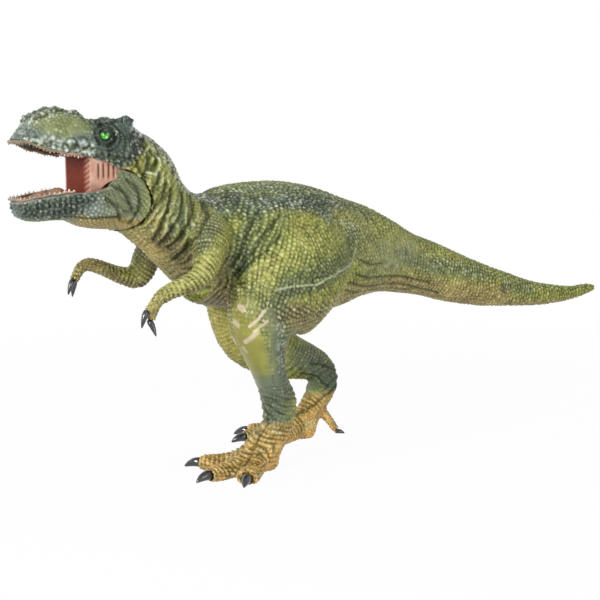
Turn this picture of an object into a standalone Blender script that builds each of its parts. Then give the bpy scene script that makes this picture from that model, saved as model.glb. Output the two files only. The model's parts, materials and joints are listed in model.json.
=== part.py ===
"""Toy dinosaur figure: solid vinyl castings glued together, with a hinged lower jaw.

The figure faces -Y and stands on Z = 0. Its left side is +X.
"""

from math import cos, pi, radians, sin

import bmesh
import bpy
from mathutils import Matrix, Vector

# Clearances and sculpting
glue_gap = 0.0003
run_gap = 0.0003
pin_run_gap = 0.00006
seam_margin = 0.002
voxel = 0.0012
fine_voxel = 0.0008
overrun = 0.004
beyond = 1.2
sculpt_share_kept = 0.064
sculpt_rounds = 4
arm_share_kept = 0.075
seat_share_kept = 0.035

# Body
hip_y = -0.040
hip_height = 0.084
trunk_reach = 0.040
body_width = 0.026
body_depth = 0.0265
tail_reach = 0.190
tail_drop = 0.030
tail_seam_share = 0.53
peg_radius = 0.005
peg_length = 0.007

# Neck
neck_start_share = (0.85, 0.15)
neck_start_y = hip_y - trunk_reach * neck_start_share[0]
neck_start_z = hip_height + body_depth * neck_start_share[1]
neck_reach = 0.036
neck_rise = 0.025
neck_width = 0.0165
neck_depth = 0.0155

# Head and jaw
jaw_pivot_share = (1.097, 0.66)
jaw_pivot_y = neck_start_y - neck_reach * jaw_pivot_share[0]
jaw_pivot_z = neck_start_z + neck_rise * jaw_pivot_share[1]
skull_length = 0.0338
skull_height = 0.034
skull_width = 0.014
jaw_length = 0.0346
jaw_depth = 0.0105
jaw_width = 0.0133
jaw_disc_radius = 0.0113
jaw_closing = radians(20)
jaw_wall = 0.0026
jaw_floor_share = 0.28
jaw_floor_z = jaw_pivot_z - jaw_depth * jaw_floor_share
palate_depth = 0.0025
palate_wall = 0.0031
lip_trim = 0.004
hub_radius = 0.0072
lug_nose = 0.0045
lug_half_height = 0.0035
lug_half_width = 0.0045
jaw_split_rise = 0.0085
jaw_split_back = 0.0035
jaw_zone_drop_share = 3
slot_swing_share = 1.1
slot_swing = jaw_closing * slot_swing_share
pin_radius = 0.0015
pin_left = 0.0092
pin_right = 0.0118
lining_half_width = 0.010
lining_front = 0.0105
lining_back = 0.006
lining_low = 0.0018
lining_top = 0.018
lining_sweep = 0.0035
tongue_half_width = 0.0047
tongue_height = 0.0072
eye_radius = 0.0021
knob_radius = 0.0027

# Legs and feet
leg_stance = 0.020
leg_stride = 0.020
thigh_girth = 0.027
toe_length = 0.0232
toe_girth = 0.0065
claw_length = 0.0058
claw_radius = 0.0022
hallux_length = 0.0126
tendon_radius = 0.0014

# Arms and hands
arm_spread = 0.026
arm_reach = 0.034
arm_drop = 0.022
shoulder_back = 0.004
shoulder_rise = 0.0029
arm_girth = 0.0065
finger_length = 0.0062
finger_girth = 0.0019
hand_claw_length = 0.0042
hand_claw_radius = 0.0013

# Teeth
tooth_length = 0.0011
tooth_radius = 0.0007
gum_width = 0.0012
gum_height = 0.0005
gum_inset = 0.0019
gum_front_share = 0.4
upper_tooth_count = 19
lower_tooth_count = 17
tooth_end_share = 0.02
tooth_tip_share = 0.15
long_tooth_share = 0.12
short_tooth_share = 0.22

# Tables of shares: (along, rise, half width, half depth)
trunk_shares = [
    (1.15, -0.075, 0.46, 0.45),
    (0.95, 0.095, 0.73, 0.735),
    (0.75, 0.04, 0.865, 0.83),
    (0.50, 0.055, 0.96, 0.925),
    (0.125, 0.02, 1.0, 1.0),
]
tail_shares = [
    (0.053, -0.033, 0.96, 1.0),
    (0.132, -0.083, 0.85, 0.905),
    (0.21, -0.10, 0.69, 0.755),
    (0.284, -0.183, 0.558, 0.604),
    (0.347, -0.30, 0.48, 0.506),
    (0.421, -0.417, 0.423, 0.46),
    (0.495, -0.567, 0.396, 0.43),
    (0.595, -0.733, 0.338, 0.362),
    (0.663, -0.817, 0.288, 0.309),
    (0.747, -0.917, 0.223, 0.238),
    (0.832, -0.973, 0.177, 0.185),
    (0.905, -0.987, 0.131, 0.136),
    (0.958, -0.95, 0.108, 0.113),
    (0.989, -0.933, 0.077, 0.075),
    (1.0, -0.93, 0.03, 0.03),
]
neck_shares = [
    (0.0, 0.0, 1.27, 1.22),
    (0.25, 0.19, 1.12, 1.01),
    (0.42, 0.36, 1.03, 0.91),
    (0.615, 0.61, 0.97, 0.975),
    (0.755, 0.85, 0.897, 1.155),
    (0.925, 1.0, 0.824, 1.21),
]

# Head sections: (forward, underside, top, half width)
skull_shares = [
    (1.014, 0.64, 0.68, 0.286),
    (0.973, 0.63, 0.705, 0.45),
    (0.89, 0.60, 0.785, 0.6),
    (0.781, 0.56, 0.915, 0.686),
    (0.616, 0.52, 0.962, 0.77),
    (0.452, 0.49, 0.947, 0.83),
    (0.288, 0.452, 0.872, 0.886),
    (0.096, 0.40, 0.822, 0.957),
    (-0.096, 0.294, 0.838, 1.0),
    (-0.288, 0.19, 0.785, 0.957),
    (-0.43, 0.13, 0.675, 0.843),
    (-0.50, 0.16, 0.55, 0.64),
]
# Knobs over the eyes and on the nose: (forward, out, rise, girth)
knob_shares = [
    (0.22, 0.60, 0.795, 1.0),
    (0.02, 0.60, 0.80, 1.0),
    (-0.14, 0.58, 0.82, 1.15),
    (0.81, 0.30, 0.85, 0.8),
    (0.60, 0.32, 0.925, 0.9),
    (0.39, 0.34, 0.90, 0.8),
]
# Eye in its skull section: (in from the cheek, back, rise)
eye_share = (0.72, 0.9, 0.68)
jaw_shares = [
    (1.0, -0.30, 0.0, 0.34),
    (0.955, -0.50, 0.07, 0.50),
    (0.867, -0.61, 0.14, 0.62),
    (0.76, -0.64, 0.20, 0.7),
    (0.6, -0.60, 0.27, 0.78),
    (0.44, -0.638, 0.34, 0.84),
    (0.28, -0.87, 0.38, 0.917),
    (0.10, -0.96, 0.50, 0.977),
    (-0.067, -1.0, 0.905, 1.0),
    (-0.253, -1.143, 0.714, 1.0),
    (-0.41, -1.19, 0.35, 0.94),
]
mouth_corner_share = (0.009, 0.336)
# Tongue sections from its tip: (along, half width, height)
tongue_shares = [
    (0.0, 0.45, 0.5),
    (0.25, 0.85, 0.8),
    (0.55, 1.0, 0.95),
    (0.85, 1.0, 1.0),
    (1.0, 0.75, 0.85),
]

# Leg sections: (out, back, height, half width, half depth)
left_leg_shares = [
    (0.85, 0.2, 1.19, 0.26, 0.52),
    (0.95, 0.0, 1.095, 0.407, 0.85),
    (1.0, -0.2, 0.976, 0.5, 0.98),
    (1.1, -0.64, 0.821, 0.52, 0.80),
    (1.15, -1.03, 0.702, 0.47, 0.545),
    (1.1, -0.965, 0.571, 0.32, 0.325),
    (1.0, -0.74, 0.429, 0.255, 0.225),
    (0.9, -0.49, 0.31, 0.26, 0.265),
    (0.86, -0.53, 0.2, 0.23, 0.225),
    (0.79, -0.82, 0.095, 0.27, 0.27),
    (0.76, -0.9, 0.04, 0.24, 0.24),
]
right_leg_shares = [
    (0.85, 0.3, 1.19, 0.26, 0.52),
    (0.95, 0.15, 1.083, 0.407, 0.85),
    (1.0, 0.0, 0.952, 0.5, 0.94),
    (1.1, -0.03, 0.81, 0.52, 0.66),
    (1.15, -0.03, 0.679, 0.463, 0.53),
    (1.1, 0.2, 0.548, 0.39, 0.51),
    (1.05, 0.9, 0.44, 0.307, 0.40),
    (1.0, 1.83, 0.357, 0.248, 0.256),
    (1.0, 1.96, 0.256, 0.245, 0.25),
    (1.0, 1.66, 0.149, 0.205, 0.20),
    (1.0, 1.45, 0.077, 0.26, 0.22),
    (1.0, 1.32, 0.04, 0.22, 0.21),
]
# Tendon under the skin of each thigh, from the rump to the knee: (out, back, height, girth)
tendon_shares = [
    (1.1, 1.2, 1.0, 0.5),
    (1.3, 0.9, 0.94, 0.9),
    (1.6, 0.3, 0.905, 1.0),
    (1.72, -0.25, 0.87, 1.0),
    (1.72, -0.8, 0.87, 0.9),
    (1.66, -1.1, 0.857, 0.5),
]
right_tendon_back_share = 0.3

# Toe sections: (along, height, half width, half height)
toe_shares = [
    (0.0, 0.92, 1.0, 1.05),
    (0.35, 0.54, 0.84, 0.66),
    (0.65, 0.42, 0.74, 0.53),
    (0.87, 0.40, 0.76, 0.52),
    (1.0, 0.38, 0.64, 0.46),
]
heel_shares = [
    (0.0, 0.92, 1.05, 1.05),
    (0.12, 0.88, 1.08, 1.02),
    (0.28, 0.84, 1.02, 0.94),
]
# Back toe sections: (along, girth)
hallux_shares = [
    (0.0, 1.0),
    (0.6, 0.9),
    (1.0, 0.86),
]
# Claw sections: (along, rise, radius)
claw_shares = [
    (-0.3, 0.02, 0.72),
    (0.0, 0.03, 1.0),
    (0.35, 0.02, 0.88),
    (0.7, -0.10, 0.62),
    (1.0, -0.28, 0.16),
]
# Each foot: (ball out, ball back), toe bearings and toe lengths, outer toe last
left_ball_share = (0.75, -0.9)
right_ball_share = (-1.0, 1.3)
left_bearings = (radians(-42), radians(8), radians(46))
right_bearings = (radians(24), radians(-12), radians(-42))
toe_length_shares = (0.98, 1.05, 0.94)
# Back claw: start (out, back, height), then its bearing and fall
left_hallux_share = (0.55, -0.5, 0.145)
right_hallux_share = (-0.925, 1.86, 0.14)
left_hallux_bearing = radians(-115)
right_hallux_bearing = radians(145)
hallux_fall = radians(55)
hallux_girth_share = 0.36
hallux_claw_share = 0.56
foot_zone_top = 0.0555
foot_zone_back_share = 3.6
foot_split_angle = radians(9)
foot_split_x = -0.0045
foot_split_y = -0.032

# Arm sections: (out, forward, down, girth), from the hip-side shoulder point
left_arm_shares = [
    (0.42, -0.02, -0.30, 0.90),
    (0.62, 0.04, -0.10, 1.08),
    (0.80, 0.12, 0.12, 1.05),
    (0.92, 0.21, 0.34, 0.86),
    (1.0, 0.31, 0.57, 0.68),
    (1.02, 0.50, 0.70, 0.56),
    (1.0, 0.66, 0.77, 0.48),
    (0.98, 0.77, 0.85, 0.46),
    (0.96, 0.84, 0.93, 0.38),
]
right_arm_shares = [
    (0.42, -0.02, -0.2, 0.90),
    (0.62, 0.04, 0.0, 1.06),
    (0.80, 0.11, 0.24, 1.02),
    (0.92, 0.18, 0.50, 0.88),
    (1.0, 0.25, 0.80, 0.74),
    (1.02, 0.47, 0.75, 0.55),
    (1.0, 0.68, 0.62, 0.47),
    (0.98, 0.88, 0.52, 0.43),
    (0.96, 1.0, 0.58, 0.36),
]
# Finger sections from the palm: (along, half width)
finger_shares = [
    (0.0, 1.15),
    (0.5, 1.0),
    (1.0, 0.78),
]
# Fingers: bearing (out, forward, down), length, then the claw's bearing
left_fingers = [
    ((0.0, 0.72, 0.68), 1.0, (0.1, 0.45, 0.9)),
    ((-0.1, 0.28, 0.95), 1.3, (0.5, -0.25, 0.82)),
]
right_fingers = [
    ((-0.2, 0.6, 0.78), 1.0, (-0.2, 0.5, 0.84)),
    ((0.25, 0.25, 0.95), 1.0, (0.25, 0.1, 0.97)),
]

def clear_scene():
    for item in list(bpy.data.objects):
        bpy.data.objects.remove(item, do_unlink=True)
    for group in list(bpy.data.collections):
        bpy.data.collections.remove(group)


def collection(name):
    group = bpy.data.collections.new(name)
    bpy.context.scene.collection.children.link(group)
    return group


def material(name, colour, roughness):
    finish = bpy.data.materials.new(name)
    finish.use_nodes = True
    shader = finish.node_tree.nodes["Principled BSDF"]
    shader.inputs["Base Color"].default_value = (*colour, 1.0)
    shader.inputs["Roughness"].default_value = roughness
    shader.inputs["Metallic"].default_value = 0.0
    return finish


def mesh_object(name, mesh, group):
    item = bpy.data.objects.new(name, mesh)
    group.objects.link(item)
    if group is guides:
        item.hide_render = True
        item.display_type = "WIRE"
    return item


def smooth_between(rows, steps):
    """Catmull-Rom rows between the given rows, ends kept."""
    padded = [rows[0]] + list(rows) + [rows[-1]]
    result = []
    for index in range(1, len(padded) - 2):
        before, start, end, after = padded[index - 1:index + 3]
        for step in range(steps):
            t = step / steps
            row = []
            for a, b, c, d in zip(before, start, end, after):
                value = 2 * b + (c - a) * t + (2 * a - 5 * b + 4 * c - d) * t ** 2
                value += (3 * b - a - 3 * c + d) * t ** 3
                row.append(value / 2)
            result.append(tuple(row))
    result.append(tuple(rows[-1]))
    return result


def loft(name, rows, group, sides=24, steps=3, boxy=2.0, side_axis=Vector((1, 0, 0)), upright=False):
    """Closed skin over sections (x, y, z, half width, half depth)."""
    rows = smooth_between(rows, steps)
    centres = [Vector(row[:3]) for row in rows]
    build = bmesh.new()
    rings = []
    for index, row in enumerate(rows):
        ahead = centres[min(index + 1, len(centres) - 1)]
        behind = centres[max(index - 1, 0)]
        along = Vector((0, -1, 0)) if upright else (ahead - behind).normalized()
        side = (side_axis - along * side_axis.dot(along)).normalized()
        rise = side.cross(along)
        ring = []
        for corner in range(sides):
            angle = 2 * pi * corner / sides
            across = abs(cos(angle)) ** (2 / boxy) * (1 if cos(angle) > 0 else -1)
            over = abs(sin(angle)) ** (2 / boxy) * (1 if sin(angle) > 0 else -1)
            point = centres[index] + side * across * row[3] + rise * over * row[4]
            ring.append(build.verts.new(point))
        rings.append(ring)
    for first, second in zip(rings, rings[1:]):
        for corner in range(sides):
            follow = (corner + 1) % sides
            build.faces.new((first[corner], first[follow], second[follow], second[corner]))
    build.faces.new(list(reversed(rings[0])))
    build.faces.new(rings[-1])
    bmesh.ops.recalc_face_normals(build, faces=build.faces)
    mesh = bpy.data.meshes.new(name)
    build.to_mesh(mesh)
    build.free()
    return mesh_object(name, mesh, group)


def grown(rows, margin):
    return [(*row[:3], row[3] + margin, row[4] + margin) for row in rows]


def prism(name, outline, half_width, centre_x=0.0):
    """Solid cut from a flat (y, z) outline, square to X."""
    curve = bpy.data.curves.new(name, "CURVE")
    curve.dimensions = "2D"
    curve.fill_mode = "BOTH"
    curve.extrude = half_width
    spline = curve.splines.new("POLY")
    spline.points.add(len(outline) - 1)
    for point, (y, z) in zip(spline.points, outline):
        point.co = (y, z, 0, 1)
    spline.use_cyclic_u = True
    flat = bpy.data.objects.new(name + "_curve", curve)
    guides.objects.link(flat)
    depsgraph = bpy.context.evaluated_depsgraph_get()
    mesh = bpy.data.meshes.new_from_object(flat.evaluated_get(depsgraph))
    bpy.data.objects.remove(flat, do_unlink=True)
    bpy.data.curves.remove(curve)
    turn = Matrix(((0, 0, 1, centre_x), (1, 0, 0, 0), (0, 1, 0, 0), (0, 0, 0, 1)))
    build = bmesh.new()
    build.from_mesh(mesh)
    bmesh.ops.remove_doubles(build, verts=build.verts, dist=voxel * 0.001)
    bmesh.ops.transform(build, matrix=turn, verts=build.verts)
    bmesh.ops.recalc_face_normals(build, faces=build.faces)
    build.to_mesh(mesh)
    build.free()
    return mesh_object(name, mesh, guides)


def rod(name, radius, start, end, group, sides=32):
    """Cylinder between two points."""
    start = Vector(start)
    end = Vector(end)
    build = bmesh.new()
    bmesh.ops.create_cone(
        build,
        cap_ends=True,
        segments=sides,
        radius1=radius,
        radius2=radius,
        depth=(end - start).length,
    )
    turn = Vector((0, 0, 1)).rotation_difference(end - start).to_matrix().to_4x4()
    place = Matrix.Translation((start + end) / 2) @ turn
    bmesh.ops.transform(build, matrix=place, verts=build.verts)
    mesh = bpy.data.meshes.new(name)
    build.to_mesh(mesh)
    build.free()
    return mesh_object(name, mesh, group)


def ball(name, radius, centre, group):
    build = bmesh.new()
    bmesh.ops.create_uvsphere(build, u_segments=14, v_segments=8, radius=radius)
    bmesh.ops.transform(build, matrix=Matrix.Translation(centre), verts=build.verts)
    mesh = bpy.data.meshes.new(name)
    build.to_mesh(mesh)
    build.free()
    return mesh_object(name, mesh, group)


def block(name, low, high, group, turn=Matrix.Identity(4)):
    low = Vector(low)
    high = Vector(high)
    build = bmesh.new()
    bmesh.ops.create_cube(build, size=1)
    place = Matrix.Translation((low + high) / 2) @ Matrix.Diagonal((*(high - low), 1))
    bmesh.ops.transform(build, matrix=turn @ place, verts=build.verts)
    mesh = bpy.data.meshes.new(name)
    build.to_mesh(mesh)
    build.free()
    return mesh_object(name, mesh, group)


def combine(item, other, operation):
    """Boolean with the exact solver."""
    change = item.modifiers.new(other.name, "BOOLEAN")
    change.operation = operation
    change.solver = "EXACT"
    change.object = other


def cut(item, other):
    combine(item, other, "DIFFERENCE")


def join(item, other):
    combine(item, other, "UNION")


def keep(item, other):
    combine(item, other, "INTERSECT")


def evaluated_mesh(item):
    depsgraph = bpy.context.evaluated_depsgraph_get()
    return bpy.data.meshes.new_from_object(item.evaluated_get(depsgraph))


def merged(name, items):
    """One mesh that holds all the given closed skins."""
    build = bmesh.new()
    for item in items:
        build.from_mesh(item.data)
    mesh = bpy.data.meshes.new(name)
    build.to_mesh(mesh)
    build.free()
    for item in items:
        bpy.data.objects.remove(item, do_unlink=True)
    return mesh_object(name, mesh, guides)


def sculpted(name, items, size, rounds, kept):
    """Fuses the skins into one smooth casting surface of few faces."""
    item = merged(name, items)
    fuse = item.modifiers.new("fuse", "REMESH")
    fuse.mode = "VOXEL"
    fuse.voxel_size = size
    soften = item.modifiers.new("soften", "SMOOTH")
    soften.factor = 0.5
    soften.iterations = rounds
    thin = item.modifiers.new("thin", "DECIMATE")
    thin.ratio = kept
    mesh = evaluated_mesh(item)
    mesh.name = name
    bpy.data.objects.remove(item, do_unlink=True)
    return mesh


def casting(name, mesh, finish):
    item = mesh_object(name, mesh.copy(), parts)
    item.data.materials.clear()
    item.data.materials.append(finish)
    item.data.shade_smooth()
    return item


def bodies_of(build):
    """Lists the points of each separate body."""
    left_over = set(build.verts)
    bodies = []
    while left_over:
        stack = [left_over.pop()]
        found = list(stack)
        while stack:
            point = stack.pop()
            for edge in point.link_edges:
                other = edge.other_vert(point)
                if other in left_over:
                    left_over.remove(other)
                    stack.append(other)
                    found.append(other)
        bodies.append(found)
    return bodies


def trim_flash(item):
    """Applies the cuts and drops the slivers that they leave beside the casting."""
    mesh = evaluated_mesh(item)
    item.modifiers.clear()
    build = bmesh.new()
    build.from_mesh(mesh)
    for body in sorted(bodies_of(build), key=len)[:-1]:
        bmesh.ops.delete(build, geom=body, context="VERTS")
    build.to_mesh(mesh)
    build.free()
    item.data = mesh


def body_rows():
    rows = []
    for along, rise, side, depth in trunk_shares:
        y = hip_y - along * trunk_reach
        z = hip_height + rise * body_depth
        rows.append((0, y, z, side * body_width, depth * body_depth))
    for along, rise, side, depth in tail_shares:
        y = hip_y + along * tail_reach
        z = hip_height + rise * tail_drop
        rows.append((0, y, z, side * body_width, depth * body_depth))
    return rows


def neck_rows():
    rows = []
    for along, rise, side, depth in neck_shares:
        y = neck_start_y - along * neck_reach
        z = neck_start_z + rise * neck_rise
        rows.append((0, y, z, side * neck_width, depth * neck_depth))
    return rows


def skull_sections():
    """(y, underside z, top z, half width) of the upper head."""
    result = []
    for along, low, high, side in skull_shares:
        y = jaw_pivot_y - along * skull_length
        low_z = jaw_pivot_z + low * skull_height
        high_z = jaw_pivot_z + high * skull_height
        result.append((y, low_z, high_z, side * skull_width))
    return result


def jaw_sections():
    """(y, underside z, lip z, half width) of the lower jaw."""
    result = []
    for along, low, high, side in jaw_shares:
        y = jaw_pivot_y - along * jaw_length
        low_z = jaw_pivot_z + low * jaw_depth
        high_z = jaw_pivot_z + high * jaw_depth
        result.append((y, low_z, high_z, side * jaw_width))
    return result


def upright_rows(sections, extra_low, extra_high):
    rows = []
    for y, low, high, side in sections:
        low -= extra_low
        high += extra_high
        rows.append((0, y, (low + high) / 2, side, (high - low) / 2))
    return rows


def leg_rows(shares, side_sign):
    rows = []
    for out, back, height, side, depth in shares:
        x = side_sign * out * leg_stance
        y = hip_y + back * leg_stride
        z = height * hip_height
        rows.append((x, y, z, side * thigh_girth, depth * thigh_girth))
    return rows


def tendon_rows(side_sign, back_share):
    rows = []
    for out, back, height, girth in tendon_shares:
        radius = tendon_radius * girth
        point = foot_point(side_sign * out, back + back_share)
        rows.append((point.x, point.y, height * hip_height, radius, radius))
    return rows


def knobs(side_sign):
    """Skins of the knobs on one side of the head."""
    skins = []
    for number, (along, out, rise, girth) in enumerate(knob_shares):
        y = jaw_pivot_y - along * skull_length
        z = jaw_pivot_z + rise * skull_height
        place = Vector((side_sign * out * skull_width, y, z))
        skins.append(ball("knob_" + str(number), knob_radius * girth, place, guides))
    return skins


def arm_rows(shares, side_sign):
    rows = []
    for out, forward, down, girth in shares:
        x = side_sign * out * arm_spread
        y = neck_start_y - shoulder_back - forward * arm_reach
        z = neck_start_z + shoulder_rise - down * arm_drop
        rows.append((x, y, z, girth * arm_girth, girth * arm_girth))
    return rows


def mouth_outline():
    top = [(y, low) for y, low, high, side in skull_sections()[:8]]
    bottom = [(y, high) for y, low, high, side in jaw_sections()[:8]]
    corner_forward, corner_rise = mouth_corner_share
    corner = (jaw_pivot_y - corner_forward * skull_length, jaw_pivot_z + corner_rise * skull_height)
    front_top = (top[0][0] - overrun, top[0][1])
    front_bottom = (bottom[0][0] - overrun, bottom[0][1])
    return [front_top] + top + [corner] + bottom[::-1] + [front_bottom]


def foot_point(out_share, back_share):
    return Vector((out_share * leg_stance, hip_y + back_share * leg_stride, 0))


def heading(bearing):
    """Level direction turned from straight ahead towards +X."""
    return Vector((sin(bearing), -cos(bearing), 0))


def toe_rows(start, direction, length, girth, shares):
    rows = []
    for along, height, side, depth in shares:
        point = start + direction * along * length
        rows.append((point.x, point.y, point.z + height * girth, side * girth, depth * girth))
    return rows


def hook_rows(start, direction, length, radius, margin=0.0):
    """Curved claw that starts inside the toe and bends towards the floor."""
    rows = []
    for along, rise, girth in claw_shares:
        point = start + direction * along * length
        point.z += rise * length
        rows.append((*point, girth * radius + margin, girth * radius + margin))
    return rows


def lifted(point, height):
    return Vector((point.x, point.y, height))


def neck_seam():
    rows = neck_rows()
    centre = Vector(rows[2][:3])
    return centre, (Vector(rows[3][:3]) - Vector(rows[1][:3])).normalized()


def facing(centre, direction):
    turn = Vector((0, 0, 1)).rotation_difference(direction).to_matrix().to_4x4()
    return Matrix.Translation(centre) @ turn


def head_zone(name, back_off):
    centre, direction = neck_seam()
    size = tail_reach
    return block(name, (-size, -size, -back_off), (size, size, size), guides, facing(centre, direction))


def tail_zone(name, back_off):
    y = hip_y + tail_seam_share * tail_reach
    size = tail_reach
    return block(name, (-size, y - back_off, -size), (size, y + size, size), guides)


def thigh_seat(name, shares, side_sign):
    """Smooth skin a little larger than the leg, which parts the leg from the body."""
    skin = loft(name, grown(leg_rows(shares, side_sign), seam_margin), guides)
    return sculpted(name, [skin], voxel, 3, seat_share_kept)


def leg_zone(name, seat, side_sign, margin):
    """Everything that the leg casting takes out of the sculpt."""
    thigh = mesh_object(name, seat.copy(), guides)
    if margin:
        swell = thigh.modifiers.new("swell", "DISPLACE")
        swell.strength = margin
        swell.mid_level = 0
    size = tail_reach
    turn = Matrix.Translation((foot_split_x, foot_split_y, 0)) @ Matrix.Rotation(-foot_split_angle, 4, "Z")
    inner = glue_gap - margin
    ends = sorted((side_sign * inner, side_sign * size))
    low = (ends[0], -size, -overrun)
    high = (ends[1], foot_zone_back_share * leg_stride, foot_zone_top + margin)
    join(thigh, block(name + "_foot", low, high, guides, turn))
    return thigh


def jaw_front_outline(margin):
    front = jaw_pivot_y - jaw_length - overrun * 2
    top = jaw_pivot_z + jaw_split_rise + margin
    bottom = jaw_pivot_z - jaw_depth * jaw_zone_drop_share
    shoulder = jaw_pivot_y - jaw_split_back + margin
    back = jaw_pivot_y + jaw_split_back + margin
    return [(front, bottom), (front, top), (shoulder, top), (back, jaw_pivot_z), (back, bottom)]


def jaw_zone(name, margin):
    reach = skull_width * beyond
    disc = cross_rod(name, jaw_disc_radius + margin, reach * beyond, reach * beyond, guides, 48)
    join(disc, prism(name + "_front", jaw_front_outline(margin), reach))
    return disc


def cross_rod(name, radius, left_end, right_end, group, sides=32):
    start = (-right_end, jaw_pivot_y, jaw_pivot_z)
    end = (left_end, jaw_pivot_y, jaw_pivot_z)
    return rod(name, radius, start, end, group, sides)


def lining_outline(margin):
    front = jaw_pivot_y - lining_front - margin
    back = jaw_pivot_y + lining_back + margin
    low = jaw_pivot_z + lining_low - margin
    top = jaw_pivot_z + lining_top + margin
    return [(front, low), (front, top), (back, top), (back, low)]


def lug_outline():
    reach = jaw_disc_radius + overrun
    y = jaw_pivot_y
    z = jaw_pivot_z
    half = lug_half_height
    return [(y, z - half), (y + reach, z - half), (y + reach, z + half), (y, z + half)]


def slot_outline():
    """Room in the jaw for the head's lug over the whole swing."""
    reach = jaw_disc_radius + overrun
    half = lug_half_height + run_gap
    y = jaw_pivot_y
    z = jaw_pivot_z
    start = (y - half * sin(slot_swing), z + half * cos(slot_swing))
    end = (start[0] + reach * cos(slot_swing), start[1] + reach * sin(slot_swing))
    return [(y, z - half), (y + reach, z - half), end, start]


def lip_path(sections, lip_index, inset, z_shift):
    """Points of one lip from the left rear round the front to the right rear."""
    side = []
    for section in sections:
        side.append((section[3] - inset, section[0], section[lip_index] + z_shift))
    front = side[0]
    middle = (0, front[1] - inset * gum_front_share, front[2])
    right_side = [(-x, y, z) for x, y, z in side]
    return side[::-1] + [middle] + right_side


def tooth_row(sections):
    """Sections along the lip from the front to just short of the lining."""
    last = [(a + b) / 2 for a, b in zip(sections[5], sections[6])]
    return sections[1:6] + [last]


def along_path(points, share):
    """Point at a share of the length of a list of points."""
    lengths = [(b - a).length for a, b in zip(points, points[1:])]
    target = share * sum(lengths)
    for start, end, length in zip(points, points[1:], lengths):
        if target <= length:
            return start.lerp(end, target / length)
        target -= length
    return points[-1]


def teeth(name, sections, lip_index, points_up, count, finish):
    gum = gum_height / 2
    shift = points_up * (glue_gap + gum)
    path = smooth_between(lip_path(sections, lip_index, gum_inset, shift), 2)
    rows = [(*point, gum_width / 2, gum) for point in path]
    bar = loft(name, rows, parts, 4, 1, side_axis=Vector((0, 1, 0.01)))
    centres = [Vector(point) for point in path]
    build = bmesh.new()
    for index in range(count):
        share = tooth_end_share + (1 - 2 * tooth_end_share) * index / (count - 1)
        size = 1 - short_tooth_share * (index % 3) + long_tooth_share * (index % 2)
        foot = along_path(centres, share)
        height = (tooth_length + gum) * size
        place = Matrix.Translation(foot + Vector((0, 0, points_up * height / 2)))
        if points_up < 0:
            place = place @ Matrix.Rotation(pi, 4, "X")
        bmesh.ops.create_cone(
            build,
            cap_ends=True,
            segments=4,
            radius1=tooth_radius,
            radius2=tooth_radius * tooth_tip_share,
            depth=height,
            matrix=place,
        )
    mesh = bpy.data.meshes.new(name + "_points")
    build.to_mesh(mesh)
    build.free()
    join(bar, mesh_object(name + "_points", mesh, guides))
    dress(bar, finish)
    return bar


def hang(item):
    """Puts the origin of a swinging piece on the hinge line."""
    hinge = Vector((0, jaw_pivot_y, jaw_pivot_z))
    item.data.transform(Matrix.Translation(-hinge))
    item.location = hinge


def dress(item, finish):
    item.data.materials.clear()
    item.data.materials.append(finish)
    item.data.shade_smooth()


def make_finishes():
    return {
        "skin": material("skin_green", (0.27, 0.34, 0.07), 0.42),
        "slate": material("head_slate", (0.10, 0.17, 0.15), 0.42),
        "mouth": material("mouth_pink", (0.62, 0.28, 0.22), 0.4),
        "tongue": material("tongue_brown", (0.42, 0.22, 0.14), 0.4),
        "tooth": material("tooth_cream", (0.85, 0.76, 0.6), 0.35),
        "claw": material("claw_black", (0.02, 0.02, 0.022), 0.25),
        "eye": material("eye_green", (0.12, 0.5, 0.05), 0.12),
        "pin": material("pin_dark", (0.08, 0.12, 0.10), 0.5),
    }


def foot_parts(prefix, ball_share, bearings, hallux_share, hallux_bearing):
    """Skins of the toes for the sculpt, and where each claw starts."""
    ball_point = foot_point(*ball_share)
    skins = []
    claws = []
    for name, bearing, share in zip(("inner", "middle", "outer"), bearings, toe_length_shares):
        direction = heading(bearing)
        length = toe_length * share
        rows = toe_rows(ball_point, direction, length, toe_girth, toe_shares)
        skins.append(loft(prefix + name, rows, guides))
        start = lifted(ball_point + direction * length, toe_girth * toe_shares[-1][1])
        claws.append((prefix + "foot_" + name + "_claw", start, direction, claw_length, claw_radius))
    back = -heading(sum(bearings) / len(bearings))
    rows = toe_rows(ball_point, back, toe_length, toe_girth, heel_shares)
    skins.append(loft(prefix + "heel", rows, guides, boxy=2.8))
    out, behind, height = hallux_share
    start = lifted(foot_point(out, behind), height * hip_height)
    direction = heading(hallux_bearing) * cos(hallux_fall) - Vector((0, 0, sin(hallux_fall)))
    end = start + direction * hallux_length
    rows = []
    for along, share in hallux_shares:
        girth = toe_girth * hallux_girth_share * share
        rows.append((*start.lerp(end, along), girth, girth))
    skins.append(loft(prefix + "hallux", rows, guides))
    size = hallux_claw_share
    level = heading(hallux_bearing)
    claws.append((prefix + "foot_back_claw", end, level, claw_length * size, claw_radius * size))
    return skins, claws


def aimed(bearing, side_sign):
    out, forward, down = bearing
    return Vector((side_sign * out, -forward, -down)).normalized()


def arm_parts(prefix, shares, side_sign, fingers):
    rows = arm_rows(shares, side_sign)
    skins = [loft(prefix + "arm_skin", rows, guides, 20)]
    palm = Vector(rows[-1][:3])
    claws = []
    for number, (bearing, reach, claw_bearing) in enumerate(fingers, 1):
        tip = palm + aimed(bearing, side_sign) * finger_length * reach
        finger = []
        for along, girth in finger_shares:
            finger.append((*palm.lerp(tip, along), girth * finger_girth, girth * finger_girth))
        skins.append(loft(prefix + "finger", finger, guides, 12))
        name = prefix + "hand_claw_" + str(number)
        claws.append((name, tip, aimed(claw_bearing, side_sign), hand_claw_length, hand_claw_radius))
    return skins, claws


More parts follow.
